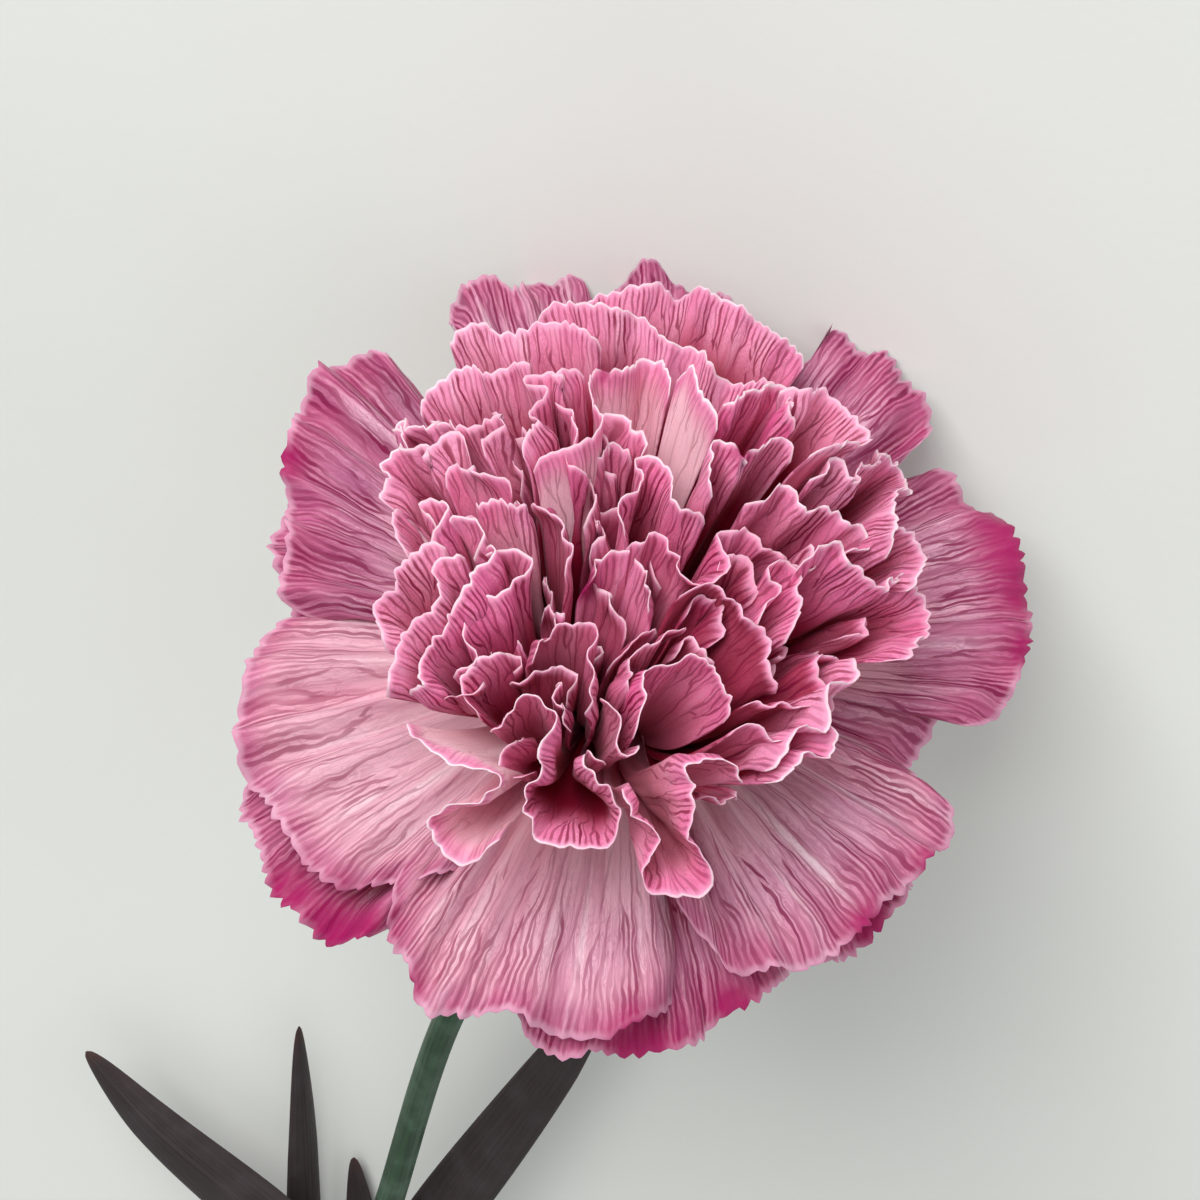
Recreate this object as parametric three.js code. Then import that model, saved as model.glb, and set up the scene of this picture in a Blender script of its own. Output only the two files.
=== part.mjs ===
// Cut carnation, lying on its side: a double flower head with ruffled petals on a calyx,
// a jointed stem and two pairs of narrow leaves.
//
// Millimetres, +Z up, resting on z = 0. The head faces -Y and looks a little upwards, and
// the stem runs back towards +Y. The origin is at the middle of the foot of the whole flower.
//
// Every petal grows from one floral axis. A place on the flower is named by a ray and by a
// distance along it. A ray rises inside the calyx tube, bends outwards over the mouth and
// then runs straight, and its turn away from the axis is its spread. No two rays meet, so
// petals whose margins do not cross each other never touch.
import * as THREE from 'three';

// ---- driving dimensions -------------------------------------------------------------
const HEAD_RISE = THREE.MathUtils.degToRad(21);     // floral axis above the horizontal
const MOUTH_HEIGHT = 32;                           // centre of the calyx mouth over the floor
const FULL_SPREAD = THREE.MathUtils.degToRad(105);  // turn of the outermost ray
const MOUTH_RADIUS = 7;                             // outermost ray at the mouth
const CLAW_RADIUS = 5;                              // outermost ray at the foot of the tube
const TUBE_LENGTH = 28;                             // calyx tube, foot to mouth
const BEND_LENGTH = 14;                             // part of a ray that bends over the mouth
const CLAW_START = -25;                             // foot of the petals, on the receptacle
const CROWN_SWELL = 6.5;                            // how far the crown swells over the guard petals
const SWELL_RISE = [8, 15];                         // heights over the mouth where it grows
const SWELL_FALL = [17, 31];                        // heights over the mouth where it ends
const SWELL_SPREAD = [40, 75];                      // turns in degrees over which it fades out
const SWELL_SIDE = [-0.1, 0.3];                     // rays over which it weakens towards the back
const SWELL_LOSS = 0.8;                             // how much of it is lost at the back
const RIM_THICKNESS = 0.0034;                       // half a petal at its rim, in ray spacing
const CLAW_THICKNESS = 0.009;                       // half a petal in the tube, in ray spacing
const FLOOR_SOFTNESS = 0.8;                         // how softly petals fold where they rest
const SEAT_GAP = 0.3;                               // clearance between pieces that touch

const CALYX_WALL = 0.6;
const CALYX_FOOT_RADIUS = 5.6;                      // inside the wall
const CALYX_MOUTH_RADIUS = 7.6;
const CALYX_TOOTH = 3.2;                            // height of the five teeth over the mouth
const CALYX_TEETH = 5;
const CALYX_VALLEY = 1.5;                           // depth of the rim between teeth under the mouth
const TOOTH_SHARPNESS = 1.5;
const CALYX_BELLY = 0.5;                            // how much the tube swells at half height
const CALYX_LEAN = 0.42;                            // how far the teeth lean out, for each mm of height
const CALYX_FLOOR = 2.4;                            // thickness of the tube's closed foot
const CALYX_ROUNDING = 2.4;                         // how far the foot draws in
const CALYX_ROUNDING_HEIGHT = 3.4;                  // height over which it does
const CALYX_SIDES = 40;
const CALYX_OUTER_ROWS = [0, 0.035, 0.075, 0.12, 0.25, 0.5, 0.8, 1];
const CALYX_INNER_ROWS = [1, 0.8, 0.5, 0.18, 0];
const BRACT_LENGTH = 10;
const BRACT_THICKNESS = 0.5;
const BRACT_HALF_ANGLE = THREE.MathUtils.degToRad(40);
const BRACT_COUNT = 4;
const BRACT_OVERHANG = 0.5;                         // how far it reaches below the tube's floor
const BRACT_ROUNDING = 0.12;                        // share of its length lost at the sides
const BRACT_NARROWING = 0.9;                        // share of its width lost at the tip
const BRACT_FULLNESS = 2.4;                         // how late it narrows
const BRACT_ROWS = [0, 0.3, 0.6, 0.85, 1];
const BRACT_COLUMNS = [-1, -0.6, -0.2, 0.2, 0.6, 1];
const RECEPTACLE_RADII = [5, 5.2, 4.95];            // foot, shoulder and top
const RECEPTACLE_SHOULDER = 1;                      // height of the shoulder over the foot
const RECEPTACLE_SIDES = 24;

const STEM_RADIUS = 1.6;
const STEM_SWELLING = 0.9;                          // extra radius at a node of the stem
const STEM_NODE_LENGTH = 4;
const NECK_LENGTH = 6;                              // straight stalk under the calyx
const STEM_THICKENING = 0.4;                        // extra radius towards the cut end
const NECK_SWELLING = 1.2;                          // extra radius under the calyx
const NECK_FADE = 25;
const STEM_SIDES = 12;
const STEM_STEPS = 44;
const LEAF_THICKNESS = 0.7;
const LEAF_KEEL = 1.1;                              // how far the leaf's middle sinks as a gutter
const LEAF_FOOT = 0.32;                             // its half width at the stem, of the widest
const LEAF_TIP = 0.03;
const LEAF_BALANCE = 0.75;                          // below 1 the widest place is nearer the stem
const LEAF_FULLNESS = [0.8, 0.55];                  // at the foot and at the tip: smaller is fuller
const LEAF_TAPER = 0.2;                             // share of the width lost towards the tip
const LEAF_EDGE = 0.1;                              // thickness of its edges, of the middle
const LEAF_SEATING = 0.5;                           // part of the gutter's depth kept clear of the stem
const LEAF_STEPS = 12;
const LEAF_COLUMNS = [-1, -0.5, 0, 0.5, 1];

// ---- the drawing sheet --------------------------------------------------------------
// Margins are drawn in tenths of a millimetre, x to the right and y down, on a sheet that
// is held square to the drawing direction at the mouth of the calyx.
const SHEET_TILT = THREE.MathUtils.degToRad(32);    // drawing direction to the floral axis
const SHEET_LEAN = THREE.MathUtils.degToRad(20);    // floral axis leans right on the sheet
const SHEET_DISTANCE = 320;                         // eye to the mouth
const SHEET_MOUTH = new THREE.Vector2(603, 700);    // mouth centre on the sheet
const SHEET_UNIT = 0.1;

// ---- petals -------------------------------------------------------------------------
// spread: [first, last] turn in degrees of the margin's rays, whose lengths follow.
// reach: length in mm of the margin's rays, whose turns follow.
const GUARD_PETALS = {
  left: { spread: [84, 89], margin: [
    [415, 380], [400, 368], [378, 359], [350, 351], [325, 360], [304, 393], [295, 418], [288, 440],
    [284, 470], [292, 490], [288, 515], [288, 545], [284, 568], [282, 590], [304, 608]] },
  left_back: { spread: [97, 101], margin: [
    [330, 440], [294, 490], [270, 529], [274, 557], [284, 585], [310, 640]] },
  lower_left: { spread: [96, 88], margin: [
    [272, 613], [258, 640], [244, 680], [236, 720], [238, 755], [262, 785], [282, 820], [308, 856],
    [340, 883], [373, 876], [409, 873], [440, 873], [474, 850]] },
  lower_left_back: { spread: [103, 98], margin: [
    [246, 758], [240, 800], [256, 835], [272, 882], [301, 911], [340, 937], [368, 945], [394, 930]] },
  lower: { spread: [91, 91], margin: [
    [388, 884], [396, 930], [410, 970], [430, 1005], [458, 1006], [502, 1010], [543, 1020],
    [576, 1024], [606, 1032], [645, 1017], [688, 992]] },
  lower_back: { spread: [100, 98], margin: [
    [510, 1005], [534, 1034], [566, 1056], [594, 1047], [630, 1047], [688, 1043], [724, 1012],
    [757, 996], [788, 973], [804, 945]] },
  lower_right: { spread: [84, 84], margin: [
    [680, 904], [714, 941], [763, 970], [811, 958], [850, 934], [886, 895], [925, 862], [953, 826],
    [968, 802]] },
  lower_right_back: { spread: [96, 96], margin: [
    [800, 972], [840, 955], [876, 928], [906, 892], [930, 850]] },
  right_back: { spread: [98, 98], margin: [
    [906, 806], [915, 765], [930, 735], [936, 705], [932, 660]] },
  right: { spread: [88, 88], margin: [
    [912, 468], [944, 474], [972, 498], [998, 504], [1012, 531], [1026, 569], [1031, 605],
    [1026, 654], [1010, 695], [986, 726]] },
  upper_right: { spread: [77, 77], margin: [
    [800, 358], [820, 345], [840, 318], [862, 350], [884, 342], [903, 373], [930, 400], [930, 430],
    [906, 464]] },
  upper: { spread: [78, 78], margin: [
    [606, 292], [628, 270], [652, 253], [682, 265], [714, 279], [735, 298], [754, 318]] },
  upper_left: { spread: [84, 84], margin: [
    [452, 334], [462, 284], [492, 276], [512, 290], [540, 266], [560, 273], [579, 264], [592, 278]] },
};

const CROWN_PETALS = {
  top_back: { spread: [69, 66], margin: [
    [580, 302], [600, 294], [636, 287], [662, 282], [680, 296], [698, 284], [716, 293], [735, 303],
    [769, 325], [786, 338], [810, 354]] },
  top: { spread: [63, 57], margin: [
    [537, 306], [562, 302], [602, 305], [640, 314], [670, 341], [700, 349], [722, 379], [751, 381],
    [780, 374]] },
  top_left: { spread: [64, 50], margin: [
    [450, 366], [450, 345], [474, 322], [492, 332], [515, 333], [540, 323], [570, 324], [600, 335]] },
  top_left_front: { spread: [60, 41], margin: [
    [414, 402], [434, 386], [463, 371], [486, 373], [512, 366], [524, 352]] },
  upper_left: { reach: 34, margin: [
    [392, 445], [393, 430], [410, 418], [424, 429], [438, 418], [457, 425], [475, 425], [502, 410],
    [498, 428], [489, 442]] },
  left_top: { reach: 34, margin: [
    [398, 490], [388, 462], [406, 444], [420, 460], [428, 460], [434, 446], [446, 438], [456, 445]] },
  upper_fold: { reach: 35.5, margin: [
    [518, 446], [537, 434], [549, 418], [539, 398], [536, 384], [548, 373], [560, 381], [574, 367],
    [584, 364]] },
  pale_hood: { reach: 34, margin: [
    [530, 460], [556, 455], [586, 444], [598, 425], [597, 400], [594, 376], [620, 370], [645, 360],
    [660, 364], [669, 380]] },
  pale_wing: { spread: [33, 24], margin: [
    [675, 388], [688, 366], [699, 390], [710, 405], [720, 419]] },
  upper_right: { reach: 36, margin: [
    [726, 396], [740, 401], [758, 390], [784, 390], [786, 408], [800, 420]] },
  heart: { reach: 35, margin: [
    [722, 486], [712, 474], [706, 458], [716, 445], [731, 450], [745, 468], [756, 450], [782, 438],
    [798, 452]] },
  right_top: { reach: 37.5, margin: [
    [802, 392], [823, 392], [841, 404], [862, 432], [838, 441], [820, 446]] },
  right_lobe: { reach: 36, margin: [
    [818, 470], [838, 466], [858, 484], [870, 470], [892, 462], [903, 478], [890, 508], [888, 532],
    [898, 552]] },
  right_inner: { reach: 34, margin: [
    [753, 499], [769, 498], [792, 500], [808, 510], [830, 515], [848, 524], [860, 537], [846, 548]] },
  centre_flap: { reach: 31.5, margin: [
    [630, 526], [629, 506], [633, 485], [645, 462], [662, 474], [676, 500], [692, 514], [710, 520]] },
  centre_right: { reach: 30.5, margin: [
    [628, 540], [645, 543], [664, 539], [682, 554], [692, 569], [712, 563], [722, 548], [726, 536],
    [744, 532], [764, 546], [784, 548], [800, 560]] },
  right_lower: { reach: 34, margin: [
    [812, 572], [822, 562], [838, 553], [852, 567], [870, 583], [900, 589], [926, 608], [922, 636],
    [895, 645]] },
  right_ear: { reach: 32, margin: [
    [772, 624], [777, 595], [772, 573], [787, 570], [790, 588], [800, 608], [792, 634]] },
  dark_cheek: { reach: 31.5, margin: [
    [682, 586], [705, 581], [731, 590], [752, 612], [764, 640], [772, 664], [788, 678]] },
  dark_cheek_outer: { reach: 32.5, margin: [
    [754, 700], [774, 702], [804, 698], [816, 682], [820, 660], [840, 648]] },
  round_front: { reach: 31, margin: [
    [638, 735], [640, 700], [635, 680], [644, 664], [668, 665], [688, 658], [715, 666], [731, 690],
    [733, 718]] },
  round_back: { reach: 30, margin: [
    [627, 694], [617, 680], [624, 656], [646, 645], [668, 632], [678, 616]] },
  centre_front: { reach: 29, margin: [
    [578, 566], [592, 555], [620, 556], [645, 567], [661, 585], [666, 601]] },
  left_inner: { reach: 32, margin: [
    [468, 502], [482, 505], [498, 500], [516, 504], [528, 512], [531, 500], [518, 488]] },
  left_middle: { reach: 33, margin: [
    [452, 506], [464, 514], [474, 530], [478, 546]] },
  left_edge: { reach: 34.5, margin: [
    [440, 543], [424, 549], [405, 566], [392, 585], [384, 602], [390, 626], [389, 645]] },
  left_wave_1: { reach: 34, margin: [
    [462, 557], [447, 564], [438, 592], [434, 614], [415, 629], [399, 651], [393, 680], [391, 696]] },
  left_wave_2: { reach: 33, margin: [
    [484, 538], [494, 552], [483, 583], [464, 602], [452, 624], [430, 638], [426, 662], [430, 688],
    [408, 706]] },
  left_wave_3: { reach: 31.5, margin: [
    [498, 536], [513, 550], [521, 572], [508, 596], [486, 611], [470, 632], [468, 656], [450, 674]] },
  lower_left_roll: { reach: 37, margin: [
    [399, 724], [413, 738], [440, 748], [470, 758], [497, 776], [482, 802], [455, 814], [432, 824],
    [440, 846], [463, 856], [496, 846]] },
  lower_left_wall: { reach: 32, margin: [
    [504, 648], [486, 661], [470, 690], [470, 714]] },
  front_ribbon: { reach: 34, margin: [
    [482, 720], [506, 705], [532, 695], [557, 714], [555, 742], [553, 767], [523, 799], [528, 818],
    [556, 836], [597, 837], [618, 822], [622, 806], [594, 788], [578, 770], [577, 752]] },
  front_arch: { reach: 31, margin: [
    [519, 645], [538, 626], [565, 621], [584, 624], [594, 640], [591, 655], [600, 678], [603, 700],
    [595, 714]] },
  front_spiral: { reach: 32, margin: [
    [612, 690], [621, 708], [621, 728], [615, 745], [626, 750], [632, 738]] },
  lower_right_edge: { reach: 34, margin: [
    [860, 652], [850, 670], [836, 690], [826, 704], [802, 722], [786, 743], [768, 758]] },
  front_tongue: { reach: 37, margin: [
    [752, 780], [740, 766], [718, 754], [697, 756], [679, 771], [677, 788], [687, 812], [699, 840],
    [694, 880], [672, 893], [654, 884], [652, 846], [647, 806], [634, 784]] },
};

// rays are divided here; a petal is a narrow claw in the tube and full width past the bend
const PETAL_STATIONS = [CLAW_START, 0, 5, 10, BEND_LENGTH, 20, 25];
const PETAL_WIDTHS = [0.06, 0.12, 0.45, 0.8, 1, 1, 1];
const BLADE_START = 0.8;                            // latest start of the full width, of a ray

// first guesses and largest steps of the search for a margin's rays
const REACH_SCALE = [60, 50];
const REACH_STEP = [0.1, 0.1];
const SPREAD_START = [3, 38];
const SPREAD_STEP = [0.3, 6];
const SEARCH_PASSES = 40;
const SEARCH_PROBE = 1e-4;                          // step over which slopes are measured
const SEARCH_FLAT = 1e-9;                           // slope that stands in for none
const STRAIGHTEST_TURN = 1e-6;                      // stands in for the axis, which does not turn

// ---- stem and leaves ------------------------------------------------------------------
// [sheet x, sheet y, height over the floor] of points on the middle line, calyx to cut end
const STEM_LINE = [
  [452, 1010, 16.4], [391, 1196, 11.8], [362, 1284, 9.8],
  [326, 1392, 6.9], [296, 1480, 4.5], [272, 1552, 2.0],
];
const STEM_NODES = [2, 4];                          // points of STEM_LINE that carry leaves
const LEAVES = {
  left: { node: 2, width: 8.5, twist: 0.15, line: [
    [256, 1208, 10], [152, 1120, 9.5], [88, 1050, 8]] },
  right: { node: 2, width: 7.8, twist: -0.15, line: [
    [456, 1194, 9], [556, 1064, 8], [612, 985, 7.5]] },
  low_left: { node: 4, width: 6, twist: 0.9, line: [
    [305, 1330, 3.4], [306, 1150, 4], [300, 1025, 6]] },
  low_right: { node: 4, width: 6, twist: 0.1, line: [
    [352, 1340, 2.4], [362, 1230, 1.8], [355, 1155, 1.4]] },
};

const PETAL_MATERIAL = { color: 0xd27f9e, roughness: 0.62, metalness: 0 };
const GUARD_MATERIAL = { color: 0xdc93ad, roughness: 0.6, metalness: 0 };
const CALYX_MATERIAL = { color: 0x4f6b45, roughness: 0.6, metalness: 0 };
const STEM_MATERIAL = { color: 0x2b4a33, roughness: 0.55, metalness: 0 };
const LEAF_MATERIAL = { color: 0x3a3648, roughness: 0.6, metalness: 0 };

// ---- frames -----------------------------------------------------------------------------
const AXIS = new THREE.Vector3(0, -Math.cos(HEAD_RISE), Math.sin(HEAD_RISE));
const SIDE = new THREE.Vector3(-1, 0, 0);
const BACK = new THREE.Vector3(0, -Math.sin(HEAD_RISE), -Math.cos(HEAD_RISE));
const MOUTH = new THREE.Vector3(0, 0, MOUTH_HEIGHT);

const SIGHT = combine(AXIS, Math.cos(SHEET_TILT), BACK, -Math.sin(SHEET_TILT));
const SHEET_AXIS = combine(AXIS, Math.sin(SHEET_TILT), BACK, Math.cos(SHEET_TILT));
const SHEET_RIGHT = combine(SIDE, Math.cos(SHEET_LEAN), SHEET_AXIS, Math.sin(SHEET_LEAN));
const SHEET_UP = combine(SIDE, -Math.sin(SHEET_LEAN), SHEET_AXIS, Math.cos(SHEET_LEAN));

function combine(a, x, b, y) {
  return a.clone().multiplyScalar(x).addScaledVector(b, y);
}

/** Point of the flower, from its place across the axis and along it. */
function flowerPoint(angle, radius, along) {
  return MOUTH.clone()
    .addScaledVector(SIDE, radius * Math.cos(angle))
    .addScaledVector(BACK, radius * Math.sin(angle))
    .addScaledVector(AXIS, along);
}

/** Radius and height of a ray, from 0 on the axis to 1 outermost, at a distance along it. */
function rayProfile(ray, distance) {
  if (distance < 0) {
    const depth = Math.max(distance, -TUBE_LENGTH) / TUBE_LENGTH;
    const narrowing = (MOUTH_RADIUS - CLAW_RADIUS) * depth;
    return [ray * (MOUTH_RADIUS + narrowing), distance];
  }
  const turn = Math.max(FULL_SPREAD * ray, STRAIGHTEST_TURN);
  const bent = Math.min(distance, BEND_LENGTH) / BEND_LENGTH * turn;
  const bendRadius = BEND_LENGTH / turn;
  const straight = Math.max(distance - BEND_LENGTH, 0);
  return [
    MOUTH_RADIUS * ray + bendRadius * (1 - Math.cos(bent)) + straight * Math.sin(turn),
    bendRadius * Math.sin(bent) + straight * Math.cos(turn),
  ];
}

/** How far the crown swells forward at a height over the mouth, on the ray [x, y]. */
function crownSwell([x, y], along) {
  const turn = THREE.MathUtils.radToDeg(FULL_SPREAD * Math.hypot(x, y));
  const { smoothstep } = THREE.MathUtils;
  return CROWN_SWELL * smoothstep(along, ...SWELL_RISE)
    * (1 - smoothstep(along, ...SWELL_FALL))
    * (1 - smoothstep(turn, ...SWELL_SPREAD))
    * (1 - SWELL_LOSS * smoothstep(y, ...SWELL_SIDE));
}

/** Point at a distance along the ray that is named by a point [x, y] of the unit disc. */
function rayPoint([x, y], distance, inCrown = false) {
  const [radius, along] = rayProfile(Math.hypot(x, y), distance);
  const point = flowerPoint(Math.atan2(y, x), radius, along);
  return inCrown ? point.addScaledVector(BACK, -crownSwell([x, y], along)) : point;
}

/** Place of a point on the sheet, in mm right of and above the mouth. */
function sheetPlace(point) {
  const offset = point.clone().sub(MOUTH);
  const scale = SHEET_DISTANCE / (SHEET_DISTANCE - offset.dot(SIGHT));
  return [offset.dot(SHEET_RIGHT) * scale, offset.dot(SHEET_UP) * scale];
}

function fromSheet(x, y) {
  return [(x - SHEET_MOUTH.x) * SHEET_UNIT, (SHEET_MOUTH.y - y) * SHEET_UNIT];
}

/** Point at a given height over the floor that is seen at a place on the sheet. */
function pointAtHeight([x, y, height]) {
  const [right, up] = fromSheet(x, y);
  const eye = MOUTH.clone().addScaledVector(SIGHT, SHEET_DISTANCE);
  const onSheet = MOUTH.clone().addScaledVector(SHEET_RIGHT, right).addScaledVector(SHEET_UP, up);
  const line = onSheet.sub(eye);
  return eye.clone().addScaledVector(line, (height - eye.z) / line.z);
}

/** Newton's method for two unknowns. */
function solvePair(evaluate, start, target, largestStep) {
  let value = start.slice();
  for (let pass = 0; pass < SEARCH_PASSES; pass += 1) {
    const here = evaluate(value);
    const right = evaluate([value[0] + SEARCH_PROBE, value[1]]);
    const up = evaluate([value[0], value[1] + SEARCH_PROBE]);
    const a = (right[0] - here[0]) / SEARCH_PROBE;
    const b = (up[0] - here[0]) / SEARCH_PROBE;
    const c = (right[1] - here[1]) / SEARCH_PROBE;
    const d = (up[1] - here[1]) / SEARCH_PROBE;
    const ex = target[0] - here[0];
    const ey = target[1] - here[1];
    const det = a * d - b * c || SEARCH_FLAT;
    const moves = [(d * ex - b * ey) / det, (a * ey - c * ex) / det];
    const limit = (move, k) => THREE.MathUtils.clamp(move, -largestStep[k], largestStep[k]);
    value = value.map((v, k) => v + limit(moves[k], k));
  }
  return value;
}

// ---- petals -------------------------------------------------------------------------------
/** Margin of a petal as [ray x, ray y, length] at each drawn point. */
function solveMargin({ spread, reach, margin }, inCrown) {
  const lengths = runningLengths(margin);
  const seen = (ray, length) => sheetPlace(rayPoint(ray, length, inCrown));
  return margin.map(([x, y], k) => {
    const target = fromSheet(x, y);
    const across = target[0] * Math.cos(SHEET_LEAN) - target[1] * Math.sin(SHEET_LEAN);
    const upward = target[0] * Math.sin(SHEET_LEAN) + target[1] * Math.cos(SHEET_LEAN);
    if (reach) {
      const start = [across / REACH_SCALE[0], (upward - reach * Math.sin(SHEET_TILT)) / REACH_SCALE[1]];
      return [...solvePair((ray) => seen(ray, reach), start, target, REACH_STEP), reach];
    }
    const turn = THREE.MathUtils.degToRad(THREE.MathUtils.lerp(spread[0], spread[1], lengths[k]));
    const place = (angle) => [Math.cos(angle), Math.sin(angle)].map((v) => v * turn / FULL_SPREAD);
    const start = [Math.atan2(upward - SPREAD_START[0], across), SPREAD_START[1]];
    const [angle, length] = solvePair(([a, l]) => seen(place(a), l), start, target, SPREAD_STEP);
    return [...place(angle), length];
  });
}

/** Share of a line's length, 0 to 1, at each of its points. */
function runningLengths(points) {
  const lengths = [0];
  for (let k = 1; k < points.length; k += 1) {
    const [x, y] = points[k];
    const [lastX, lastY] = points[k - 1];
    lengths.push(lengths[k - 1] + Math.hypot(x - lastX, y - lastY));
  }
  return lengths.map((length) => length / lengths[lengths.length - 1]);
}

/** Value of a list of points at a share of its length. */
function sampleLine(points, shares, share) {
  let k = 1;
  while (k < shares.length - 1 && shares[k] < share) k += 1;
  const t = (share - shares[k - 1]) / (shares[k] - shares[k - 1]);
  return points[k].map((v, axis) => THREE.MathUtils.lerp(points[k - 1][axis], v, t));
}

/** Unit normals of a plane line at its points. */
function lineNormals(points) {
  return points.map((_, k) => {
    const before = points[Math.max(k - 1, 0)];
    const after = points[Math.min(k + 1, points.length - 1)];
    const dx = after[0] - before[0];
    const dy = after[1] - before[1];
    const length = Math.hypot(dx, dy);
    return [-dy / length, dx / length];
  });
}

/** A petal: a thin closed sheet from its claw in the tube to its margin. */
function petalGeometry(petal, inCrown) {
  const rim = solveMargin(petal, inCrown);
  const shares = runningLengths(rim);
  const normals = lineNormals(rim);
  const latest = BLADE_START * Math.min(...rim.map((point) => point[2]));
  const stations = PETAL_STATIONS.map((station) => Math.min(station, latest)).concat(Infinity);
  const widths = PETAL_WIDTHS.concat(1);
  const face = (side) => stations.map((station, row) => shares.map((share) => {
    const place = THREE.MathUtils.lerp(0.5, share, widths[row]);
    const [x, y, length] = sampleLine(rim, shares, place);
    const [nx, ny] = sampleLine(normals, shares, place);
    const distance = Math.min(station, length);
    const half = side * petalHalfThickness(distance);
    return restOnFloor(rayPoint([x + nx * half, y + ny * half], distance, inCrown));
  }));
  return closedSheet(face(1), face(-1));
}

/** Half the thickness of a petal at a distance along it, in ray spacing. */
function petalHalfThickness(distance) {
  const share = (distance - CLAW_START) / (BEND_LENGTH - CLAW_START);
  return THREE.MathUtils.lerp(CLAW_THICKNESS, RIM_THICKNESS, THREE.MathUtils.clamp(share, 0, 1));
}

/** Petals that would sink below the floor fold flat along it. */
function restOnFloor(point) {
  point.z = FLOOR_SOFTNESS * Math.log(1 + Math.exp(point.z / FLOOR_SOFTNESS));
  return point;
}

// ---- closed meshes -------------------------------------------------------------------------
/** Closed mesh between two grids of points with the same rows and columns. */
function closedSheet(front, back) {
  const rows = front.length;
  const columns = front[0].length;
  const lastRow = rows - 1;
  const lastColumn = columns - 1;
  const points = [...front.flat(), ...back.flat()];
  const at = (side, row, column) => side * rows * columns + row * columns + column;
  const faces = [];
  const quad = (a, b, c, d) => faces.push(a, b, c, a, c, d);
  for (let row = 0; row < lastRow; row += 1) {
    for (let column = 0; column < lastColumn; column += 1) {
      const [up, right] = [row + 1, column + 1];
      quad(at(0, row, column), at(0, row, right), at(0, up, right), at(0, up, column));
      quad(at(1, row, column), at(1, up, column), at(1, up, right), at(1, row, right));
    }
  }
  for (let column = 0; column < lastColumn; column += 1) {
    const right = column + 1;
    quad(at(1, 0, column), at(1, 0, right), at(0, 0, right), at(0, 0, column));
    quad(at(0, lastRow, column), at(0, lastRow, right), at(1, lastRow, right), at(1, lastRow, column));
  }
  for (let row = 0; row < lastRow; row += 1) {
    const up = row + 1;
    quad(at(0, row, 0), at(0, up, 0), at(1, up, 0), at(1, row, 0));
    quad(at(0, row, lastColumn), at(1, row, lastColumn), at(1, up, lastColumn), at(0, up, lastColumn));
  }
  return outwardGeometry(points, faces);
}

/** Closed mesh of rings of points, with a fan over each end. */
function closedRings(rings) {
  const sides = rings[0].length;
  const points = rings.flat();
  const faces = [];
  for (let ring = 0; ring < rings.length - 1; ring += 1) {
    for (let side = 0; side < sides; side += 1) {
      const next = (side + 1) % sides;
      const a = ring * sides + side;
      const b = ring * sides + next;
      faces.push(a, b, b + sides, a, b + sides, a + sides);
    }
  }
  const sum = (ring) => ring.reduce((total, point) => total.add(point), new THREE.Vector3());
  points.push(sum(rings[0]).divideScalar(sides), sum(rings[rings.length - 1]).divideScalar(sides));
  const last = (rings.length - 1) * sides;
  for (let side = 0; side < sides; side += 1) {
    const next = (side + 1) % sides;
    faces.push(points.length - 2, next, side, points.length - 1, last + side, last + next);
  }
  return outwardGeometry(points, faces);
}

/** Indexed geometry whose faces all point out. */
function outwardGeometry(points, faces) {
  let volume = 0;
  for (let k = 0; k < faces.length; k += 3) {
    const [a, b, c] = [points[faces[k]], points[faces[k + 1]], points[faces[k + 2]]];
    volume += a.dot(new THREE.Vector3().crossVectors(b, c));
  }
  const places = points.flatMap((point) => [point.x, point.y, point.z]);
  const geometry = new THREE.BufferGeometry();
  geometry.setAttribute('position', new THREE.Float32BufferAttribute(places, 3));
  geometry.setIndex(volume < 0 ? faces.slice().reverse() : faces);
  geometry.computeVertexNormals();
  return geometry;
}

// ---- calyx, receptacle and bracts --------------------------------------------------------
/** Ring across the axis at a height, with a radius for each angle. */
function axisRing(sides, radiusAt, alongAt) {
  return Array.from({ length: sides }, (_, k) => {
    const angle = k / sides * 2 * Math.PI;
    return flowerPoint(angle, radiusAt(angle), alongAt(angle));
  });
}

/** Inner radius of the calyx at a height, its teeth leaning out over the mouth. */
function calyxInside(along) {
  const share = (along + TUBE_LENGTH) / TUBE_LENGTH;
  const belly = CALYX_BELLY * Math.sin(Math.PI * THREE.MathUtils.clamp(share, 0, 1));
  const lean = CALYX_LEAN * Math.max(along, 0);
  const cone = THREE.MathUtils.lerp(CALYX_FOOT_RADIUS, CALYX_MOUTH_RADIUS, Math.min(share, 1));
  return cone + belly + lean;
}

/** Rim of the calyx: five pointed teeth. */
function calyxRim(angle) {
  const wave = Math.abs(Math.cos(angle * CALYX_TEETH / 2));
  return -CALYX_VALLEY + (CALYX_TOOTH + CALYX_VALLEY) * wave ** TOOTH_SHARPNESS;
}

function calyxGeometry() {
  const along = (share, foot) => (angle) => THREE.MathUtils.lerp(foot, calyxRim(angle), share);
  const ring = (share, foot, radiusAt) => axisRing(CALYX_SIDES,
    (angle) => radiusAt(along(share, foot)(angle)), along(share, foot));
  const outer = CALYX_OUTER_ROWS.map((share) => ring(share, -TUBE_LENGTH - CALYX_FLOOR, calyxOutside));
  const inner = CALYX_INNER_ROWS.map((share) => ring(share, -TUBE_LENGTH, calyxInside));
  return closedRings([...outer, ...inner]);
}

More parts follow.
